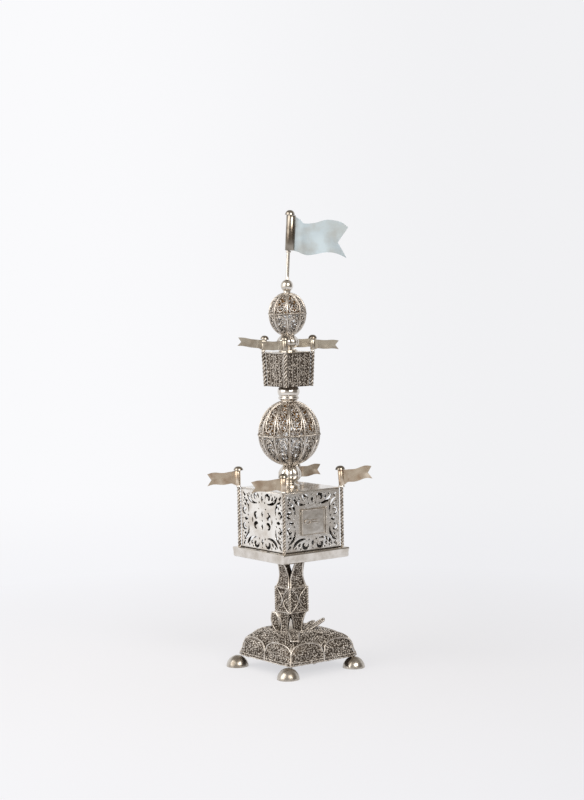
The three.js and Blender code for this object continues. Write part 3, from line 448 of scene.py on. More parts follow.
# Round wire laid along lines, plain or as three strands twisted together.
wire_inputs = {
    "Lines": ("Geometry", None),
    "Wire Radius": ("Float", 0.0003),
    "Strands": ("Int", 1),
    "Spread": ("Float", 0.0),
    "Twist": ("Float", 0.0),
    "Step": ("Float", 0.0005),
    "Wire": ("Material", None),
}
wires_tree, given = node_group("wires_along_lines", wire_inputs, "Wires")
line = add_node(wires_tree, "GeometryNodeMeshToCurve", {"Mesh": given["Lines"]}).outputs["Curve"]
stepping = {"Curve": line, "Length": given["Step"]}
even = add_node(wires_tree, "GeometryNodeResampleCurve", stepping, mode="LENGTH").outputs["Curve"]
length = add_node(wires_tree, "GeometryNodeSplineParameter").outputs["Length"]
tilt = add_node(wires_tree, "ShaderNodeMath", {0: length, 1: given["Twist"]}, operation="MULTIPLY").outputs[0]
twisted = add_node(wires_tree, "GeometryNodeSetCurveTilt", {"Curve": even, "Tilt": tilt}).outputs["Curve"]
index = add_node(wires_tree, "GeometryNodeInputIndex").outputs["Index"]
share = add_node(wires_tree, "ShaderNodeMath", {0: index, 1: given["Strands"]}, operation="DIVIDE").outputs[0]
angle = add_node(wires_tree, "ShaderNodeMath", {0: share, 1: 2 * math.pi}, operation="MULTIPLY").outputs[0]
outwards = add_node(wires_tree, "ShaderNodeCombineXYZ", {"X": given["Spread"]}).outputs["Vector"]
turn = {"Vector": outwards, "Angle": angle}
spot = add_node(wires_tree, "ShaderNodeVectorRotate", turn, rotation_type="Z_AXIS").outputs["Vector"]
ends = {"Count": given["Strands"], "Position": spot}
strands = add_node(wires_tree, "GeometryNodePoints", ends).outputs["Points"]
circle = {"Resolution": 6, "Radius": given["Wire Radius"]}
strand = add_node(wires_tree, "GeometryNodeCurvePrimitiveCircle", circle).outputs["Curve"]
bundle = {"Points": strands, "Instance": strand}
section = add_node(wires_tree, "GeometryNodeInstanceOnPoints", bundle).outputs["Instances"]
section = add_node(wires_tree, "GeometryNodeRealizeInstances", {"Geometry": section}).outputs["Geometry"]
drawing = {"Curve": twisted, "Profile Curve": section, "Fill Caps": True}
drawn = add_node(wires_tree, "GeometryNodeCurveToMesh", drawing).outputs["Mesh"]
rounded = add_node(wires_tree, "GeometryNodeSetShadeSmooth", {"Geometry": drawn}).outputs["Geometry"]
finished(wires_tree, rounded, given["Wire"], "Wires")


def settled(source):
    """The plain mesh that an object's curves or modifiers make. The object itself goes."""
    bpy.context.view_layer.update()
    mesh = bpy.data.meshes.new_from_object(source.evaluated_get(bpy.context.evaluated_depsgraph_get()))
    bpy.data.objects.remove(source)
    return mesh


def grown(name, tree, points, edges, faces, sizes):
    """A plain mesh that a node tree makes from points in mm, with the tree's inputs set by name."""
    mesh = bpy.data.meshes.new(name)
    mesh.from_pydata([tuple(np.array(point) * mm) for point in points], edges, faces)
    source = linked(name, mesh)
    modifier = source.modifiers.new("grown", "NODES")
    modifier.node_group = tree
    for socket in tree.interface.items_tree:
        if socket.in_out == "INPUT" and socket.name in sizes:
            modifier[socket.identifier] = sizes[socket.name]
    result = settled(source)
    result.name = name
    return linked(name, result)


def wires(name, lines, radius, body="tower", nodes=(), pitch=0, material=None, slot="filigree_silver"):
    """Wires along lines of points in mm. A pitch in mm makes three strands that turn once in that length."""
    points, edges = [], []
    for line in lines:
        ends_meet = (Vector(line[0]) - Vector(line[-1])).length < 1e-6
        ring = list(line)[:-1] if ends_meet else list(line)
        start = len(points)
        points += ring
        edges += [(start + k, start + k + 1) for k in range(len(ring) - 1)]
        if ends_meet:
            edges.append((start + len(ring) - 1, start))
    sizes = {"Wire Radius": radius * mm, "Step": 0.0005, "Wire": material or drawn_wire}
    if pitch:
        strand = {"Wire Radius": 0.44 * radius * mm, "Strands": 3, "Spread": 0.56 * radius * mm}
        sizes.update(strand, Twist=2 * math.pi / (pitch * mm), Step=pitch * mm / 18)
    return fitted(grown(name, wires_tree, points, edges, [], sizes), body, slot, *nodes)


curl_spacing = 1.0


def curls(name, skins, nodes=(), spacing=curl_spacing, seed=3, material=None):
    """Filigree curls all over skins, each a pair of points in mm and faces."""
    points, faces = joined(skins)
    sizes = {"Spacing": spacing * mm, "Radius": 0.54 * spacing * mm, "Seed": seed}
    sizes["Wire"] = material or curled_wire
    return fitted(grown(name, curls_tree, points, [], faces, sizes), "tower", "filigree_silver", *nodes)


def grid(rows):
    """Points and faces of an open skin through rows of points of equal length."""
    width = len(rows[0])
    faces = [
        [i * width + k, i * width + k + 1, (i + 1) * width + k + 1, (i + 1) * width + k]
        for i in range(len(rows) - 1)
        for k in range(width - 1)
    ]
    return np.array([tuple(point) for row in rows for point in row]), faces


def plate(rows, back):
    """A closed thin sheet: its front runs through rows of points, and its back lies off them by a vector."""
    points, faces = grid(rows)
    count, width, height = len(points), len(rows[0]), len(rows)
    rim = list(range(width)) + [i * width + width - 1 for i in range(1, height)]
    rim += [(height - 1) * width + k for k in range(width - 2, -1, -1)]
    rim += [i * width for i in range(height - 2, 0, -1)]
    sides = [[a, b, b + count, a + count] for a, b in zip(rim, rim[1:] + rim[:1])]
    behind = [[i + count for i in face[::-1]] for face in faces]
    return np.vstack([points, points + np.array(back)]), faces + behind + sides


def wire_metal(name, bright, dull, smooth, rough):
    """Drawn silver wire: bright on its back, and darker and rougher in patches where tarnish stays."""

    def paint(tree):
        amount, colour = tarnish(tree, 3.0, 4.0, (0.35, 0.7), bright, dull)
        ramp = {"Value": amount, "To Min": smooth, "To Max": rough}
        roughness = add_node(tree, "ShaderNodeMapRange", ramp).outputs["Result"]
        return {"Base Color": colour, "Roughness": roughness}

    return metal(name, paint)


def closed(line):
    """A line whose last point is its first again."""
    return [*line[:-1], line[0]]


# Round silver wire for outlines: rubbed bright by handling.
drawn_wire = wire_metal("drawn_silver_wire", "#e6e0d8", "#aca297", smooth=0.22, rough=0.4)
# Flat wire for the curls: less rubbed, greyer between the outlines.
curled_wire = wire_metal("curled_silver_wire", "#dcd5cc", "#8a8177", smooth=0.2, rough=0.42)

# A dark backing under the curls, nearly black: painted shade for the shadowed inside of the openwork.
painted_shade_ground = wire_metal("painted_shade_ground_silver", "#6c6258", "#453d36", smooth=0.45, rough=0.7)

base_outside = 0.35
base_inside = 1.1
curl_depth = 0.3
wire_lift = 0.25
outline_wire = 0.44
hoop_wire = 0.3
rim_wire = 0.4
around = np.arange(0, 360, 3.75)
rows_up = np.arange(0, 9.01, 0.25)
outer_rings = [[cushion_point(row, turn, base_outside) for turn in around] for row in rows_up]
for point in outer_rings[0]:
    point.z = rim_height
inner_rings = [[cushion_point(row, turn, base_inside) for turn in around] for row in np.arange(9, -0.01, -1)]
for point in inner_rings[-1]:
    point.z = rim_height


def lofted(rings):
    """A closed skin through rings of equal length, with a point in the middle of both ends."""
    count = len(rings[0])
    points = [tuple(point) for ring in rings for point in ring]
    points += [tuple(np.mean([tuple(point) for point in ring], axis=0)) for ring in (rings[0], rings[-1])]
    faces = []
    for i in range(len(rings) - 1):
        for k in range(count):
            next_k = (k + 1) % count
            faces.append([i * count + k, i * count + next_k, (i + 1) * count + next_k, (i + 1) * count + k])
    last = (len(rings) - 1) * count
    faces += [[len(points) - 2, (k + 1) % count, k] for k in range(count)]
    faces += [[len(points) - 1, last + k, last + (k + 1) % count] for k in range(count)]
    return np.array(points), faces


# The cushion's dark backing is painted shade under its curls.
base_ground = new_piece("base_ground", painted_shade_ground, lofted(outer_rings[::-1] + inner_rings[::-1]))
fitted(base_ground, "tower", "filigree_silver", "base_cushion")

wrapped = np.append(around, 360)
side_rows = np.arange(0.1, 5.01, 0.25)
crown_rows = np.arange(5, 9.01, 0.25)
side_skin, crown_skin = (
    grid([[cushion_point(row, turn, curl_depth) for turn in wrapped[::-1]] for row in rows])
    for rows in (side_rows, crown_rows)
)
curls("base_side_curls", [side_skin], nodes=["base_cushion"])
curls("base_crown_curls", [crown_skin], nodes=["base_cushion"], seed=7)

# The rows of the cushion that an arch starts from at its outer and its inner end, and reaches.
arch_foot = 1.6
arch_spring = 2.2
arch_top = 3.45
arches, seams = [], []
for side_turn in range(0, 360, 90):
    for hand in (-1, 1):
        arch = []
        for share in np.linspace(0, 1, 25):
            foot = arch_foot + (arch_spring - arch_foot) * share
            row = foot + (arch_top - foot) * math.sqrt(max(0, 1 - (2 * share - 1) ** 2))
            turn = side_turn + hand * math.degrees(math.atan(0.02 + 0.95 * share))
            arch.append(on_cushion(row, turn, wire_lift))
        arches.append(arch)
    seams.append([on_cushion(row, side_turn, wire_lift) for row in np.linspace(0.1, arch_foot, 12)])
    seams.append([on_cushion(row, side_turn + 45, wire_lift) for row in np.linspace(0.1, 3, 20)])
hoops = [closed([on_cushion(row, turn, 0.1) for turn in wrapped]) for row in (0.6, 7.2)]
rim_line = closed([cushion_point(0, turn, wire_lift) + upwards * 0.4 for turn in wrapped])
wires("base_arches", arches, outline_wire, nodes=["base_cushion"])
wires("base_seams", seams, outline_wire, nodes=["base_cushion"])
wires("base_hoops", hoops, hoop_wire, nodes=["base_cushion"], pitch=1.8)
wires("base_rim", [rim_line], rim_wire, nodes=["base_cushion"], pitch=2.4)

# Leaves
# Four leaves of openwork filigree round the stem's foot: curls inside a border of wire.
# Each was bent to its own angle by hand.

leaf_half_width = 2.8
leaf_margin = 0.3
leaf_sheet = 0.2
leaf_wire = 0.52
vein_wire = 0.22
leaf_widths = [0.3, 0.85, 1, 0.85]
# The length, the root's reach, the heading, the twist, the rise, the bend, the droop and the tip's
# share of the width, with angles in degrees.
leaves = {
    "front": (13.45, 12.54, -125, 0, 3.5, 7, 0.0298, 0.8),
    "right": (13.4, 7, -45, 15, 0.4, 34, 0.002, 0.6),
    "back": (7.8, 7.5, -10, 0, 0.9, 33, 0, 0.3),
    "left": (11.4, 8.1, 139, 62, 0.4, 80, 0, 0.4),
}
for corner, (length, root, heading, twist, rise, bend, droop, tip) in leaves.items():
    bend, twist, heading = (math.radians(angle) for angle in (bend, twist, heading))
    shares = smooth_line([(share,) for share in leaf_widths + [tip]], 4)[:, 0]
    across = Vector((-math.sin(twist) * math.sin(bend), math.cos(twist), math.sin(twist) * math.cos(bend)))
    through = Vector((math.cos(bend), 0, math.sin(bend))).cross(across)
    root_height = dish_height + leaf_margin + rise
    to_place = Matrix.Translation((0, 0, root_height)) @ Matrix.Rotation(heading, 4, "Z")
    rows = []
    for share, half in zip(np.linspace(0, 1, len(shares)), shares * (leaf_half_width - leaf_margin)):
        along = leaf_margin + share * (length - 2 * leaf_margin)
        middle = Vector((root + along * math.cos(bend), 0, along * math.sin(bend) - droop * along**2))
        sides = (across * level * half for level in np.linspace(-1, 1, 7))
        rows.append([to_place @ (middle + side + through * leaf_margin) for side in sides])
    border = [row[0] for row in rows] + [row[-1] for row in rows[::-1]] + [rows[0][0]]
    node = f"leaf_{corner}"
    turned = to_place.to_3x3() @ through
    # Each leaf's dark backing plate is painted shade under its curls.
    ground = new_piece(f"leaf_ground_{corner}", painted_shade_ground, plate(rows, -leaf_sheet * turned))
    fitted(ground, "tower", "filigree_silver", node)
    wires(f"leaf_border_{corner}", [border], leaf_wire, nodes=[node])
    wires(f"leaf_vein_{corner}", [[row[3] for row in rows]], vein_wire, nodes=[node])
    curls(f"leaf_curls_{corner}", [grid(rows), grid([row[::-1] for row in rows])], nodes=[node])

# The front leaf's shoot: a bent slip of plain sheet that stands in the gap between two brackets. Each
# row is its height, its reach and its half width.
shoot_lines = [(0.3, 7.2, 1.0), (2, 6.1, 1.25), (4.5, 5.6, 1.1), (7, 5.5, 0.7), (9.3, 5.6, 0.15)]
shoot_sheet = 0.3
shoot_heading = math.radians(-135)
shoot_out = Vector((math.cos(shoot_heading), math.sin(shoot_heading), 0))
shoot_across = upwards.cross(shoot_out)
shoot_rows = []
for height, reach, half in smooth_line(shoot_lines, 5):
    middle = shoot_out * reach
    stands = upwards * (dish_height + height)
    shoot_rows.append([middle + shoot_across * side * half + stands for side in (-1, -0.4, 0.4, 1)])
shoot = new_piece("leaf_shoot_front", polished_silver, plate(shoot_rows, -shoot_sheet * shoot_out), sharp=50)
fitted(shoot, "tower", "filigree_silver", "leaf_front")

# Stem
# Four bowed brackets below a square knop and four above it, all of filigree between thick plain
# wires. They are pinned between the base's crown and the tray.

knop_half = 6.2
lower_stem_height = 12.3
knop_height = 14
upper_stem_height = 16.4
knop_low = dish_height + lower_stem_height
knop_high = knop_low + knop_height
tray_low = knop_high + upper_stem_height
bracket_sheet = 0.5
bracket_wire = 0.4
bracket_margin = 0.2
# The height, the reach and the half width of a bracket, from its foot up.
lower_rows = [(0, 6.8, 2.9), (1.48, 5.85, 2.6), (3.69, 5.3, 2.7), (6.77, 5.3, 3.2), (9.84, 5.6, 4.34)]
lower_rows.append((lower_stem_height, knop_half, 5.4))
upper_rows = [(0, knop_half, 5.4), (2.79, 5.3, 4.7), (5.9, 5, 4.1), (10, 5.9, 3.3), (13.45, 7.2, 2.8)]
upper_rows.append((upper_stem_height, 8.5, 2.4))


def on_side(turn, reach, side, height):
    """A point of a four-sided piece: out, sideways and up on the side at an angle in degrees."""
    cos, sin = math.cos(math.radians(turn)), math.sin(math.radians(turn))
    return Vector((reach * cos - side * sin, reach * sin + side * cos, height))


def square_ring(half, height):
    """The corners of a level square."""
    return [(x * half, y * half, height) for x, y in corners.values()]


def stem_section(name, node, rows, low):
    """Four brackets of a stem: a dark plate each, curls on it, and wires along its edges."""
    line = smooth_line(rows, 4)
    plates, skins, edges = [], [], []
    for turn in range(0, 360, 90):
        face = [
            [on_side(turn, reach - curl_depth, half * k, low + height) for k in np.linspace(-1, 1, 5)]
            for height, reach, half in line
        ]
        plates.append(plate(face, on_side(turn, -bracket_sheet, 0, 0)))
        skins.append(grid(face))
        for hand in (-1, 1):
            sides = [(reach, hand * (half - bracket_margin), low + height) for height, reach, half in line]
            edges.append([on_side(turn, *place) for place in sides])
    # Each bracket's dark plate is painted shade under its curls.
    fitted(new_piece(f"{name}_ground", painted_shade_ground, *plates), "tower", "filigree_silver", node)
    curls(f"{name}_curls", skins, nodes=[node])
    wires(f"{name}_edges", edges, bracket_wire, nodes=[node])


stem_section("lower_bracket", "stem_lower_brackets", lower_rows, dish_height)
stem_section("upper_bracket", "stem_upper_brackets", upper_rows, knop_high)

knop_plates, knop_skins, knop_arcs, knop_ropes = [], [], [], []
knop_inside = knop_half - 0.35
knop_rope_reach = knop_half - 0.1
knop_sides = np.linspace(-knop_inside, knop_inside, 7)
knop_sheet = 0.6
knop_wire = 0.42
bow_end = 5.8
bow_depth = 5.45
bow_wire = 0.3
bow_lift = 0.1
bow_margin = 0.3
rope_radius = 0.85
rope_pitch = 3.9
for turn in range(0, 360, 90):
    face = [
        [on_side(turn, knop_inside, side, knop_low + height) for side in knop_sides]
        for height in np.linspace(0, knop_height, 9)
    ]
    knop_plates.append(plate(face, on_side(turn, -knop_sheet, 0, 0)))
    knop_skins.append(grid(face))
    for hand in (-1, 1):
        bow = []
        for share in np.linspace(0, 1, 29):
            side = hand * (bow_end - bow_depth * math.sin(math.pi * share) ** 0.9)
            rise = bow_margin + share * (knop_height - 2 * bow_margin)
            bow.append(on_side(turn, knop_half + bow_lift, side, knop_low + rise))
        knop_arcs.append(bow)
    heights = knop_low + np.linspace(0, knop_height, 12)
    knop_ropes.append([on_side(turn, knop_rope_reach, knop_rope_reach, height) for height in heights])
# The knop's dark plates are painted shade under its curls.
knop_ground = new_piece("knop_ground", painted_shade_ground, *knop_plates)
fitted(knop_ground, "tower", "filigree_silver", "knop")
curls("knop_curls", knop_skins, nodes=["knop"])
wires("knop_arcs", knop_arcs, bow_wire, nodes=["knop"])
wires("knop_corner_ropes", knop_ropes, rope_radius, nodes=["knop"], pitch=rope_pitch)
knop_rings = [square_ring(knop_half, height) for height in (knop_low + 0.2, knop_high - 0.2)]
wires("knop_frames", [[*ring, ring[0]] for ring in knop_rings], knop_wire, nodes=["knop"])

# Tray
# A square plate of sheet silver with narrowly rounded edges, soldered up hollow with mitred corners.
# The box stands on it.

tray_half = 22.8
tray_height = 5.4
box_low = tray_low + tray_height
# The share of its height, and how far in from the edge it lies there.
tray_profile = [(0, 1.1), (0.04, 0.65), (0.12, 0.35), (0.24, 0.3), (0.5, 0.3)]
tray_profile += [(0.72, 0.15), (0.82, 0), (0.93, 0), (0.98, 0.15), (1, 0.4)]


def wear_edges(piece, width, segments):
    """Rounds a piece's sharp edges a little, as handling does."""
    worn = piece.modifiers.new("worn_edge", "BEVEL")
    worn.width = width * mm
    worn.segments = segments
    worn.limit_method = "ANGLE"
    worn.angle_limit = math.radians(40)


tray_rings = [square_ring(tray_half - inset, tray_low + level * tray_height) for level, inset in tray_profile]
tray = new_piece("tray_plate", polished_silver, lofted(tray_rings), sharp=30)
wear_edges(tray, width=0.12, segments=2)
fitted(tray, "tower", "polished_silver", "tray")

# Box walls
# Four walls of sheet silver, pierced with a saw and engraved between the piercings. Each border has
# long bows, hooks and drops, and the plain walls have four commas in the middle.

wall_sheet = 0.8
box_half = 19.5
box_height = 32.2
wall_half = box_half - wall_sheet
half_height = box_height / 2
door_middle = 15.8
door_rise = door_middle - half_height
doorway_half = (7.4, 6.3)
lid_low = box_low + box_height
# A file has widened each saw cut by this factor.
filed_wider = 1.38


def slit(points, widths):
    """The outline of a saw cut along a smooth line, with a width at each of its points."""
    line = smooth_line(points, 4)
    half = filed_wider * np.interp(np.linspace(0, 1, len(line)), np.linspace(0, 1, len(widths)), widths) / 2
    along = np.gradient(line, axis=0)
    across = np.stack([-along[:, 1], along[:, 0]], axis=1) / np.linalg.norm(along, axis=1)[:, None]
    left, right = line + across * half[:, None], line - across * half[:, None]
    return np.vstack([left, right[::-1]])


def dot(x, y, radius):
    """The outline of a drilled hole."""
    angles = np.linspace(0, 2 * math.pi, 13)[:-1]
    return np.array([(x + radius * math.cos(a), y + radius * math.sin(a)) for a in angles])


def rectangle(x, y, rise=0.0):
    """The outline of a rectangle from its half width and its half height."""
    return np.array([(-x, rise - y), (x, rise - y), (x, rise + y), (-x, rise + y)])


def border_cuts(stretch):
    """Cuts of one border, as (along the edge, in from the edge), for one half of a wall's side."""
    hook = [(3, 4.1), (3.3, 2.5), (4.8, 1.75), (6.3, 2.4), (6.4, 3.9), (5.3, 4.4)]
    cuts = [
        slit([(4.3, 6.7), (7, 6.7), (9.7, 5.9), (11.9, 4.4), (13.5, 2.2)], [0.25, 0.85, 1.3, 1.35, 0.45]),
        slit(hook, [0.3, 0.9, 1.2, 1.35, 1.1, 0.4]),
        slit([(8.3, 4.4), (9.2, 3.7), (9.6, 2.4)], [0.35, 1.25, 0.4]),
        slit([(11.7, 1.7), (11.4, 2.9)], [1.0, 0.35]),
        dot(2.5, 6.2, 0.55),
        dot(8.2, 1.6, 0.5),
        dot(4.9, 3.35, 0.38),
    ]
    return [cut * (stretch, 1) for cut in cuts]


def wall_cuts(with_door):
    """All cuts of a wall, about its middle."""
    cuts = []
    for turn in range(4):
        reach, edge = (wall_half, half_height) if turn % 2 == 0 else (half_height, wall_half)
        cos, sin = math.cos(turn * math.pi / 2), math.sin(turn * math.pi / 2)
        sides = [[cut * (hand, 1) for cut in border_cuts(reach / wall_half)] for hand in (-1, 1)]
        sides.append([slit([(0, 2.7), (0, 4.2), (0, 6)], [0.35, 1.5, 0.35]), dot(0, 1.5, 0.42)])
        for cut in sum(sides, []):
            along, up = cut[:, 0], cut[:, 1] - edge
            cuts.append(np.stack([along * cos - up * sin, along * sin + up * cos], axis=1))
    for x, y in corners.values():
        far, near = (np.array((x * (wall_half - inset), y * (half_height - inset))) for inset in (1.7, 3.6))
        cuts.append(slit([far, near], [0.6, 1.25]))
    if with_door:
        return cuts + [rectangle(*doorway_half, door_rise)]
    comma = [(4.7, 4.6), (6.2, 4), (6.5, 2.5), (5.2, 1.5), (3.7, 1.7)]
    for x, y in corners.values():
        cuts.append(slit(np.array(comma) * (x, y), [0.3, 1.0, 1.5, 1.5, 0.5]))
    for x in (-8.6, 8.6):
        cuts.append(slit([(x, 1.3), (x, 0), (x, -1.6)], [0.35, 1.0, 0.35]))
    for y in (-1, 1):
        cuts.append(slit([(0, y * 2), (0, y * 3.4), (0, y * 5)], [0.35, 1.3, 0.35]))
        cuts.append(slit([(2.6 * y, 6.2), (3.6 * y, 6.7)], [0.6, 0.3]))
    return cuts + [dot(0, 0, 0.55)]


def pierced_sheet(name, cuts):
    """A flat sheet with cuts through it and softened edges, as a mesh about its middle."""
    flat = bpy.data.curves.new(name, "CURVE")
    flat.dimensions = "2D"
    flat.fill_mode = "BOTH"
    soft = 0.09
    flat.extrude = (wall_sheet / 2 - soft) * mm
    flat.bevel_depth = soft * mm
    flat.bevel_resolution = 1
    flat.offset = -soft * mm
    for loop in [rectangle(wall_half, half_height)] + cuts:
        spline = flat.splines.new("POLY")
        spline.points.add(len(loop) - 1)
        spline.points.foreach_set("co", [value for x, y in loop for value in (x * mm, y * mm, 0, 1)])
        spline.use_cyclic_u = True
    mesh = settled(linked(name, flat))
    cleaned(mesh, 2e-7)
    return mesh


# Sheet silver, engraved: polished, with fine chased lines between the piercings, drawn twice as wide
# as the real ones so that they show.
engraved_silver = sheet_metal(
    "engraved_silver", "#f5f2ed", "#d6cfc6", patch=7, smooth=0.2, dull=0.36, dent=2.2, line_height=0.05
)

# The inside of the walls, nearly black: painted shade for the inside of the closed box, seen through the
# piercings.
painted_shade_inside = wire_metal("box_inside_painted_shade", "#4d453d", "#2c2722", smooth=0.45, rough=0.7)

wall_sides = {"wall_front_door": 0, "wall_right": 90, "wall_back": 180, "wall_left": -90}
stood_up = Matrix.Rotation(math.pi / 2, 4, "X")
out_front = Matrix.Translation(Vector((0, -(box_half - wall_sheet / 2), box_low + half_height)) * mm)
for node, turn in wall_sides.items():
    mesh = pierced_sheet(f"pierced_{node}", wall_cuts(node == "wall_front_door"))
    mesh.materials.clear()
    mesh.materials.append(engraved_silver)
    mesh.materials.append(painted_shade_inside)
    # Faces that look into the box take the painted shade.
    for face in mesh.polygons:
        face.material_index = int(face.normal.z < -0.5)
    mesh.transform(Matrix.Rotation(math.radians(turn), 4, "Z") @ out_front @ stood_up)
    fitted(linked(f"pierced_{node}", mesh), "tower", "polished_silver", node)

# A black strip under the walls: a painted shadow line where the walls stand on the tray.
shadow_strip_half = box_half + 0.05
shadow_strip_rings = [square_ring(shadow_strip_half, box_low + height) for height in (0.02, 0.5)]
fitted(new_piece("wall_foot_painted_shadow", painted_shade_inside, lofted(shadow_strip_rings)), "tower", "polished_silver")

# Door
# A small plate in a raised border, hung on three knuckles at its right. Its pull is an eye of wire
# with two tails, soldered on.

door_half = 8.1
door_height = 14
door_low = box_low + door_middle - door_height / 2
door_gap = 0.3
border_wire = 0.34
pull_wire = 0.35
door_face = -(box_half + door_gap + wall_sheet)
knuckle_radius = 0.7
knuckle_bore = 0.42
knuckle_gap = 0.2
knuckle_length = (door_height - 2 * knuckle_gap) / 3
hinge_x = door_half + knuckle_radius - 0.1
hinge_y = -(box_half + door_gap + knuckle_radius)


def block(x0, x1, low, height):
    """A part of the door's plate."""
    ring = [(x0, door_face), (x1, door_face), (x1, door_face + wall_sheet), (x0, door_face + wall_sheet)]
    return lofted([[(x, y, z) for x, y in ring] for z in (low, low + height)])


def knuckle(index):
    """One knuckle of the hinge, from the lowest."""
    low = door_low + index * (knuckle_length + knuckle_gap)
    soft = 0.15
    outside = [(knuckle_radius - soft, 0), (knuckle_radius, soft)]
    outside += [(knuckle_radius, knuckle_length - soft), (knuckle_radius - soft, knuckle_length)]
    shape = lathed([(knuckle_bore, 0)] + outside + [(knuckle_bore, knuckle_length), (knuckle_bore, 0)], 24)
    return moved(shape, hinge_x, hinge_y, low)


plate_half = door_half - 0.6
door_plate = block(-door_half, plate_half, door_low, door_height)
tongue = block(door_half - 0.8, hinge_x - 0.5, door_low + knuckle_length + knuckle_gap, knuckle_length)
door = new_piece("door_plate", polished_silver, door_plate, tongue, knuckle(1))
wear_edges(door, width=0.1, segments=1)
fitted(door, "door", "polished_silver", "door")
inset = 0.28
border_x = (-door_half + inset, plate_half - inset)
border_z = (door_low + inset, door_low + door_height - inset)
border = [(border_x[i], door_face - 0.1, border_z[j]) for i, j in ((0, 0), (1, 0), (1, 1), (0, 1), (0, 0))]
wires("door_border", [border], border_wire, body="door", nodes=["door"], slot="polished_silver")
pull_y = door_face - pull_wire
pull_z = door_low + door_height / 2 + 0.4
angles = np.linspace(0, 2 * math.pi, 29)
eye = closed([(-4.4 + 2.0 * math.cos(a), pull_y, pull_z + 1.1 * math.sin(a)) for a in angles])
tails = [[(-2.5, pull_y, pull_z + z), (2.5, pull_y, pull_z + 1.3 * z)] for z in (-0.5, 0.5)]
wires("door_pull_wire", [eye] + tails, pull_wire, body="door", nodes=["door_pull"], slot="polished_silver")

fixed_knuckles = new_piece("fixed_knuckles", polished_silver, knuckle(0), knuckle(2))
fitted(fixed_knuckles, "tower", "polished_silver", "wall_front_door")
pin_foot = [(0, -0.45), (0.5, -0.4), (0.55, -0.1), (0.3, -0.1)]
pin_head = [(radius, door_height - height) for radius, height in pin_foot[::-1]]
pin_shape = moved(lathed(pin_foot + pin_head, 24), hinge_x, hinge_y, door_low)
pin = new_piece("hinge_pin_wire", polished_silver, pin_shape)
fitted(pin, "tower", "polished_silver", "hinge_pin")

# Lid of the box
# One thin flat plate with its corners cut back for the posts. It mirrors the pale background.

lid_sheet = 0.8
lid_top = lid_low + lid_sheet


def cut_plate(half, cut, low, high):
    """A square plate with cut corners and a softened upper edge."""
    ring = [(half - cut, -half), (half, -half + cut), (half, half - cut), (half - cut, half)]
    ring += [(-x, -y) for x, y in ring]
    soft = 0.12
    levels = [(low, soft), (low + soft, 0), (high - soft, 0), (high, soft)]
    scales = [(z, 1 - inset / half) for z, inset in levels]
    return lofted([[(x * scale, y * scale, z) for x, y in ring] for z, scale in scales])


lid = new_piece("box_lid_plate", polished_silver, cut_plate(box_half, wall_sheet, lid_low, lid_top), sharp=20)
fitted(lid, "tower", "polished_silver", "box_lid")

# Corner posts, caps and pennants
# Each post is three wires twisted together, with a collar and a pin. A pennant of thin sheet, rolled
# round the pin at one end and cut to a swallowtail, turns under a domed cap.

# Sheet silver, once parcel gilt: worn to a thin warm tone with browner patches.
worn_gilt = sheet_metal("worn_gilt_silver", "#dfd1be", "#ae9a86", patch=4, smooth=0.24, dull=0.42, dent=5)

# The smaller pennants have almost lost their gilding: paler and greyer.
pale_gilt = sheet_metal("rubbed_gilt_silver", "#ddd6c8", "#a59b8d", patch=4, smooth=0.22, dull=0.4, dent=5)

# Sleeves and caps: smooth silver, grey-brown as painted shade for their darker reflections, with darker
# tarnish patches.
sleeve_cap_silver_painted_shade = sheet_metal("sleeve_cap_silver_painted_shade", "#a8a196", "#776d61", patch=6, smooth=0.1, dull=0.28, dent=4)

flag_sheet = 0.45
flag_fold = 0.25
pennant_notch = 0.13
flag_heading = -38
flag_across = Vector((-math.sin(math.radians(flag_heading)), math.cos(math.radians(flag_heading)), 0))
collar_height = 0.8
flag_lift = 1.0
cap_lift = 1.2
cap_height = 2.1


def pennant_edges(sleeve_height, climb):
    """How low and how high a pennant's sheet is at a share of its length: it climbs, and ripples once."""

    def edges(share):
        taper = max(0, 1 - 8 * share)
        droop = 1.5 * (max(0, share - 0.75) / 0.25) ** 2
        ripple = math.cos(2 * math.pi * (share - 0.75) / 0.64) - droop
        middle = sleeve_height / 2 + share * climb + 0.065 * (sleeve_height - 4) * (1 - taper) * ripple
        half = sleeve_height * (0.82 + 0.18 * taper) / 2
        return middle - half, middle + half

    return edges


def rolled_flag(length, notch, sleeve, wave, edges):
    """A flag along +X from its pin: its length, the share of it that its notch takes, its sleeve's height,
    radius, bore and offset, how far it waves, and its two edges."""
    sleeve_height, sleeve_radius, bore, offset = sleeve
    start = offset + (bore + sleeve_radius) / 2
    rows = []
    for share in np.linspace(0, 1, 61):
        low, high = edges(share)
        across = flag_fold * math.exp(-(((share - 0.16) / 0.07) ** 2))
        across += wave * share * math.sin(2.2 * math.pi * share)
        row = []
        for level in np.linspace(-1, 1, 11):
            end = length * (1 - notch * (1 - abs(level)))
            lean = 0.07 * wave * level * math.sin(3.2 * math.pi * share)
            place = start + share * (end - start)
            row.append((place, across + lean + flag_sheet / 2, (low + high) / 2 + level * (high - low) / 2))
        rows.append(row)
    soft = 0.12
    edge = sleeve_radius - soft
    wall = [(edge, 0), (sleeve_radius, soft), (sleeve_radius, sleeve_height - soft), (edge, sleeve_height)]
    wall += [(bore, sleeve_height), (bore, 0), (edge, 0)]
    return plate(rows, (0, -flag_sheet, 0)), moved(lathed(wall, 40), x=offset)


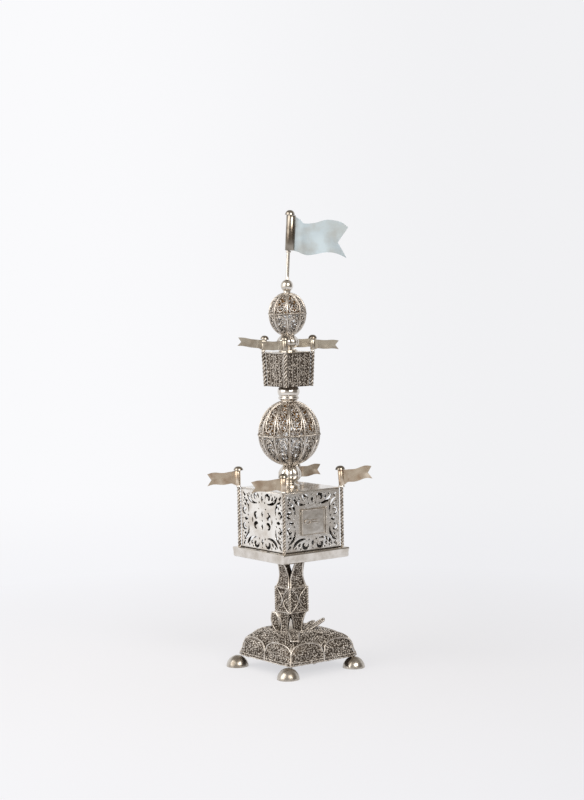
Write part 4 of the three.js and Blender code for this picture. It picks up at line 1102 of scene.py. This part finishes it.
def domed_cap(radius, height, pin_radius):
    """A thin umbrella with a boss on the pin's end."""
    dome = [(0, 1), (0.3, 0.97), (0.6, 0.82), (0.86, 0.5), (1, 0.06)]
    under = [(0.96, 0), (0.78, 0.28), (0.5, 0.48)]
    outside = list(smooth_line([(share * radius, level * height) for share, level in dome], 4))
    inside = [(share * radius, level * height) for share, level in under]
    return lathed(outside + inside + [(pin_radius, 0.55 * height), (pin_radius, 0), (0, 0)], 40)


def placed(shapes, matrix):
    """Shapes moved by a matrix in mm."""
    turn, shift = np.array(matrix.to_3x3()), np.array(matrix.translation)
    return [(points @ turn.T + shift, faces) for points, faces in shapes]


def turret(prefix, reaches, levels, rope_radius, pin_radius, sleeve_ring, cap_radius, wave, gilding, flags):
    """The four posts of a turret, from a reach and a level at the foot to others at the head, with flags."""
    for corner, (x, y) in corners.items():
        length, sleeve, turn, rise, lean, offset, collar_radius = flags[corner]
        foot, head = (Vector((x * reach, y * reach, level)) for reach, level in zip(reaches, levels))
        post, flag_node, cap_node = (f"{prefix}_{part}_{corner}" for part in ("post", "flag", "cap"))
        rope = [foot.lerp(head, share) for share in np.linspace(0, 1, 12)]
        pitch = 5.4 * rope_radius
        wires(f"{post}_rope", [rope], rope_radius, nodes=[post], pitch=pitch, material=curled_wire)
        leaning = Matrix.Translation(head) @ Matrix.Rotation(math.radians(lean), 4, flag_across)
        pin_top = cap_lift + sleeve
        collar = [(0, 0), (collar_radius - 0.15, 0), (collar_radius, 0.4)]
        collar += [(collar_radius - 0.15, collar_height), (0, collar_height)]
        pin = [(0, 0.1), (pin_radius, 0.1), (pin_radius, pin_top), (0, pin_top)]
        mounting = placed([lathed(collar, 32)], Matrix.Translation(head)) + placed([lathed(pin, 24)], leaning)
        fitted(new_piece(f"{post}_collar", polished_silver, *mounting), "tower", "filigree_silver", post)
        heading = Matrix.Rotation(math.radians(flag_heading + turn), 4, "Z")
        swing = leaning @ Matrix.Translation((0, 0, flag_lift)) @ heading
        edges = pennant_edges(sleeve, rise * length)
        shapes = rolled_flag(length, pennant_notch, (sleeve, *sleeve_ring, offset), wave, edges)
        flag = new_piece(f"{prefix}_pennant_sheet_{corner}", gilding, *placed(shapes, swing), sharp=50)
        fitted(flag, f"{prefix}_pennant_{corner}", "gilt_silver", flag_node)
        on_pin = leaning @ Matrix.Translation((0, 0, pin_top))
        dome = placed([domed_cap(cap_radius, cap_height, pin_radius)], on_pin)
        cap = new_piece(f"{prefix}_dome_{corner}", sleeve_cap_silver_painted_shade, *dome)
        fitted(cap, "tower", "polished_silver", cap_node)


# The length, the sleeve's height, the turn, the rise, the pin's lean, the sleeve's offset and the
# collar's radius, with angles in degrees.
box_flags = {
    "front": (17.2, 7.2, 180, -0.06, 0, 0, 1.4),
    "right": (17.2, 8.4, 0, 0.12, -4, 0.2, 1.9),
    "back": (16.6, 7.2, 34, 0.07, 0, 0, 1.4),
    "left": (17.2, 8.0, 188, -0.02, 0, 0.45, 1.4),
}
box_reach = box_half + 1.36 / math.sqrt(2) - wall_sheet / 2
box_levels = (box_low, lid_top)
box_pins = {"rope_radius": 1, "pin_radius": 0.6, "sleeve_ring": (1.6, 1.15), "cap_radius": 2.7}
box_pins["wave"] = -0.3
turret("box", (box_reach, box_reach), box_levels, gilding=worn_gilt, flags=box_flags, **box_pins)

# Baluster and collar bead
# Bulbs and beads turned and raised from sheet silver, threaded on the tower's rod.

# The angle in degrees that turns a lobe towards the photographer.
view_lobe = 38


def bulb(node, shares, height, radius, low, lobes=0):
    """A bulb from shares of its radius and height, from the top down, with lobes chased into it."""
    line = [(share * radius, level * height) for share, level in smooth_line(shares, 5)]
    points, faces = lathed([(0, height)] + line + [(0, 0)], 96)
    if lobes:
        turns = np.arctan2(points[:, 1], points[:, 0]) + math.radians(view_lobe)
        belly = np.clip(np.sin(np.pi * np.clip((points[:, 2] / height - 0.2) / 0.72, 0, 1)), 0, 1)
        hollow = 1 - np.abs(np.cos(lobes / 2 * turns)) ** 0.7
        points[:, :2] *= (1 - 0.13 * belly * hollow)[:, None]
    piece = new_piece(f"{node}_bulb", polished_silver, moved((points, faces), z=low), sharp=60)
    fitted(piece, "tower", "polished_silver", node)


baluster_shares = [(0.53, 1), (0.6, 0.94), (0.78, 0.83), (0.95, 0.69), (1, 0.54), (0.93, 0.4), (0.74, 0.29)]
baluster_shares += [(0.5, 0.21), (0.55, 0.14), (0.84, 0.09), (0.84, 0)]
baluster_height = 12.5
bulb("baluster", baluster_shares, baluster_height, 6.3, lid_top, lobes=8)

# Balls
# Two half shells of openwork filigree, each of panels between ribs of plain wire. A rope of
# twisted wire hides the joint at the equator.

ball_radius = 16.4
ball_lower_height = 15.9
ball_upper_height = 17.4
band_height = 1.0
ball_low = lid_top + baluster_height
band_low = ball_low + ball_lower_height
upper_low = band_low + band_height


skin_lifts = (-0.35, -1.1)
rib_wire = 0.5
loop_wire = 0.26


def half_ball(node, radius, neck, height, equator, up, ribs, phase, inside, spacings):
    """Half a filigree ball: an outer and an inner layer of curls, each with its own spacing, its ribs, and a
    loop of wire inside each panel."""
    semi = height / math.sqrt(1 - (neck / radius) ** 2)
    last = math.asin(height / semi)

    def spot(level, turn, lift=0.0):
        tilt = last * level
        reach = (radius + lift) * math.cos(tilt)
        angle = math.radians(turn)
        rise = up * (semi + lift) * math.sin(tilt)
        return Vector((reach * math.cos(angle), reach * math.sin(angle), equator + rise))

    levels = np.linspace(0, 1, 19)
    panel = 360 / ribs
    turns = (phase + np.linspace(0, 360, 4 * ribs + 1))[::up]
    skin, lining = (
        grid([[spot(level, turn, lift) for turn in turns] for level in levels]) for lift in skin_lifts
    )
    curls(f"{node}_curls", [skin], nodes=[node], spacing=spacings[0])
    curls(f"{node}_inner_curls", [lining], nodes=[node], spacing=spacings[1], seed=11, material=inside)
    rib_lines = [[spot(level, phase + k * panel, 0.05) for level in levels] for k in range(ribs)]
    wires(f"{node}_ribs", rib_lines, rib_wire, nodes=[node])
    loops = []
    for k in range(ribs):
        middle = phase + (k + 0.5) * panel
        loop = []
        for angle in np.linspace(0, 2 * math.pi, 33):
            level = 0.5 + 0.44 * math.copysign(abs(math.cos(angle)) ** 0.8, math.cos(angle))
            loop.append(spot(level, middle + 0.38 * panel * math.sin(angle), -0.1))
        loops.append(closed(loop))
    wires(f"{node}_loops", loops, loop_wire, nodes=[node])
    ring = closed([spot(1, turn) for turn in np.linspace(0, 360, 49)])
    wires(f"{node}_neck_ring", [ring], rib_wire, nodes=[node], pitch=1.6)


def equator_rope(prefix, radius, height, thickness):
    """A rope of twisted wire round a ball's equator, with a whole number of turns."""
    angles = np.linspace(0, 2 * math.pi, 73)
    ring = closed([(radius * math.cos(a), radius * math.sin(a), height) for a in angles])
    around_it = 2 * math.pi * radius
    pitch = around_it / round(around_it / (3 * thickness))
    wires(f"{prefix}_equator_rope", [ring], thickness, nodes=[f"{prefix}_band"], pitch=pitch)


# The number of ribs and the angle in degrees of the first one.
ball_turn = (12, -126.5)
# The radius, the neck's radius, the height, the equator's height, and up or down.
lower_half = (ball_radius, 3.34, ball_lower_height, band_low, -1)
upper_half = (ball_radius, 4.2, ball_upper_height, upper_low, 1)

# Curls of the inner layer: grey below, darker than the outer curls as painted shade for the inside of the
# ball, and with the worn brown of old gilding above.
shaded_grey_inside = wire_metal("inner_wire_painted_shade", "#b3aba0", "#6b625a", smooth=0.3, rough=0.5)
gilt_inside = wire_metal("gilt_inner_wire", "#c49c68", "#7d5f3e", smooth=0.4, rough=0.6)
half_ball("ball_lower", *lower_half, *ball_turn, shaded_grey_inside, spacings=(1.75, 2.4))
half_ball("ball_upper", *upper_half, *ball_turn, gilt_inside, spacings=(1.15, 1.05))
equator_rope("ball", ball_radius + 0.1, band_low + band_height / 2, 0.8)

bead_low = upper_low + ball_upper_height
bead_height = 8.5
collar_shares = [(0.74, 1), (0.93, 0.84), (1, 0.66), (0.95, 0.48), (0.84, 0.36)]
collar_shares += [(0.93, 0.27), (0.9, 0.18), (0.72, 0.09), (0.72, 0)]
bulb("collar_bead", collar_shares, bead_height, 6.1, bead_low)

# Gallery
# A small box that widens upwards. Each side is strips of filigree between upright wires, between
# twisted corner posts, under a flat polished lid.

gallery_low = bead_low + bead_height
gallery_height = 18
gallery_halves = (8.5, 9.15)
gallery_high = gallery_low + gallery_height
gallery_top = gallery_high + lid_sheet
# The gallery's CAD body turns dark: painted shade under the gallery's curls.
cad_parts["gallery_body"].data.materials.clear()
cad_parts["gallery_body"].data.materials.append(painted_shade_ground)


def gallery_spot(turn, share, level, lift):
    """A point off the gallery's side at an angle, at shares of its half width and of its height."""
    half = gallery_halves[0] + level * (gallery_halves[1] - gallery_halves[0])
    return on_side(turn, half + lift, share * (half - wall_sheet), gallery_low + level * gallery_height)


upright_wire = 0.24
upright_lift = 0.2
gallery_skins, uprights = [], []
for turn in range(0, 360, 90):
    shares, levels = np.linspace(-0.95, 0.95, 9), np.linspace(0.03, 0.97, 9)
    face = [[gallery_spot(turn, share, level, 0.0) for share in shares] for level in levels]
    gallery_skins.append(grid(face))
    for share in (-0.9, -0.5, -0.1, 0.1, 0.5, 0.9):
        uprights.append([gallery_spot(turn, share, level, upright_lift) for level in np.linspace(0, 1, 9)])
curls("gallery_curls", gallery_skins)
wires("gallery_uprights", uprights, upright_wire)
gallery_plate = cut_plate(gallery_halves[1], lid_sheet, gallery_high, gallery_top)
lid = new_piece("gallery_lid_plate", polished_silver, gallery_plate, sharp=20)
fitted(lid, "tower", "polished_silver", "gallery_lid")

gallery_flags = {
    "front": (12.6, 5.8, 180, 0, 0, 0, 1.2),
    "right": (14.2, 5.8, 0, -0.02, 0, 0, 1.2),
    "back": (14.2, 5.6, 8, 0.02, 0, 0, 1.2),
    "left": (14.4, 5.6, 180, 0.03, 7, 0, 1.2),
}
reaches = [half + (1.2 / math.sqrt(2) - wall_sheet / 2) for half in gallery_halves]
levels = (gallery_low, gallery_top)
small_pins = {"rope_radius": 1.15, "pin_radius": 0.5, "sleeve_ring": (1.35, 0.65), "cap_radius": 2.4}
small_pins["wave"] = -0.25
turret("gallery", reaches, levels, gilding=pale_gilt, flags=gallery_flags, **small_pins)

# Small ball and its bead
# The same work on a smaller scale, on its own baluster, with a plain bead on top.

upper_baluster_height = 9.4
small_radius = 9.8
small_lower_height = 10.9
small_upper_height = 10.4
small_band_height = 0.8
small_turn = (8, -128)
bulb("upper_baluster", baluster_shares, upper_baluster_height, 6.1, gallery_top, lobes=8)
small_band = gallery_top + upper_baluster_height + small_lower_height
small_upper = small_band + small_band_height
lower_half = (small_radius, 3.23, small_lower_height, small_band, -1)
upper_half = (small_radius, 2.4, small_upper_height, small_upper, 1)
half_ball("small_ball_lower", *lower_half, *small_turn, shaded_grey_inside, spacings=(1.35, 2.1))
half_ball("small_ball_upper", *upper_half, *small_turn, gilt_inside, spacings=(1.1, 1.05))
equator_rope("small_ball", small_radius + 0.1, small_band + small_band_height / 2, 0.65)

bead_radius = 3.4
bead_neck = 2
bead_foot = small_upper + small_upper_height
bead_middle = bead_foot + 1.5 + math.sqrt(bead_radius**2 - bead_neck**2)
flat_angle = math.acos(bead_neck / bead_radius)
angles = np.linspace(math.pi / 2, -flat_angle, 20)[1:]
bead_line = [(0, bead_radius)] + [(bead_radius * math.cos(a), bead_radius * math.sin(a)) for a in angles]
bead_shape = lathed(bead_line + [(bead_neck, bead_foot - bead_middle), (0, bead_foot - bead_middle)], 48)
bead = new_piece("bead_ball", polished_silver, moved(bead_shape, z=bead_middle), sharp=50)
fitted(bead, "tower", "polished_silver", "bead")

# Standard and the large flag
# A drawn rod that leans a little, with a collar that carries the large flag's loose sleeve, and a
# domed cap above.

standard_lean = 3.2
pole_height = 34.9
pole_radius = 0.8
rod_radius = 0.95
rod_foot = 1.3
rod_collar = 1.45
big_sleeve_height = 19
sleeve_gap = 0.2
standard_foot = bead_radius + 0.1
standard_top = standard_foot + pole_height
flag_foot = standard_top - sleeve_gap - big_sleeve_height
collar_top = flag_foot - sleeve_gap
lean = Matrix.Rotation(math.radians(standard_lean), 4, flag_across)
leaning = Matrix.Translation((0, 0, bead_middle)) @ lean
rod = [(0, standard_foot), (rod_foot, standard_foot), (1.05, standard_foot + 0.7)]
rod += [(rod_radius, standard_foot + 1.5), (rod_radius, collar_top - 1), (rod_foot, collar_top - 1)]
rod += [(rod_collar, collar_top - 0.8), (rod_collar, collar_top - 0.2), (rod_foot, collar_top)]
rod += [(pole_radius, collar_top), (pole_radius, standard_top), (0, standard_top)]
standard = new_piece("standard_rod", polished_silver, *placed([lathed(rod, 32)], leaning))
fitted(standard, "tower", "polished_silver", "standard")

big_length = 31.8
big_height = 17.2
big_notch = 0.165
big_sleeve_ring = (2.6, 1.8)
big_sleeve_offset = 0.7
big_wave = -0.5
big_cap = (2.7, 2.625)
# The share of its length, and its lower and its upper edge there as shares of its height.
big_rows = [(0, 0, 1.07), (0.1, -0.05, 0.98), (0.16, -0.09, 0.875), (0.26, -0.13, 0.87), (0.42, -0.085, 0.92)]
big_rows += [(0.58, -0.02, 1.01), (0.74, -0.015, 1), (0.88, -0.08, 0.945), (1, -0.175, 0.8)]
big_line = smooth_line(big_rows, 8)


def big_edges(share):
    """How low and how high the large flag's sheet is at a share of its length."""
    return [big_height * np.interp(share, big_line[:, 0], big_line[:, k]) for k in (1, 2)]


# Sheet silver, tempered blue by age: pale grey-blue with greyer patches, matt from long tarnish.
blued_silver = sheet_metal("blued_silver", "#c6d4dc", "#b9bfc0", patch=9, smooth=0.52, dull=0.64, dent=8)
big_ring = (big_sleeve_height, *big_sleeve_ring, big_sleeve_offset)
shapes = rolled_flag(big_length, big_notch, big_ring, big_wave, big_edges)
heading = Matrix.Rotation(math.radians(flag_heading), 4, "Z")
sheet, sleeve = placed(shapes, leaning @ Matrix.Translation((0, 0, flag_foot)) @ heading)
big_flag = new_piece("large_flag_sheet", blued_silver, sheet, sharp=50)
fitted(big_flag, "top_flag", "polished_silver", "big_flag")
big_sleeve = new_piece("large_flag_sleeve", sleeve_cap_silver_painted_shade, sleeve, sharp=50)
fitted(big_sleeve, "top_flag", "polished_silver", "big_flag")
dome = placed([domed_cap(*big_cap, pole_radius)], leaning @ Matrix.Translation((0, 0, standard_top)))
fitted(new_piece("standard_dome", sleeve_cap_silver_painted_shade, *dome), "tower", "polished_silver", "standard_cap")
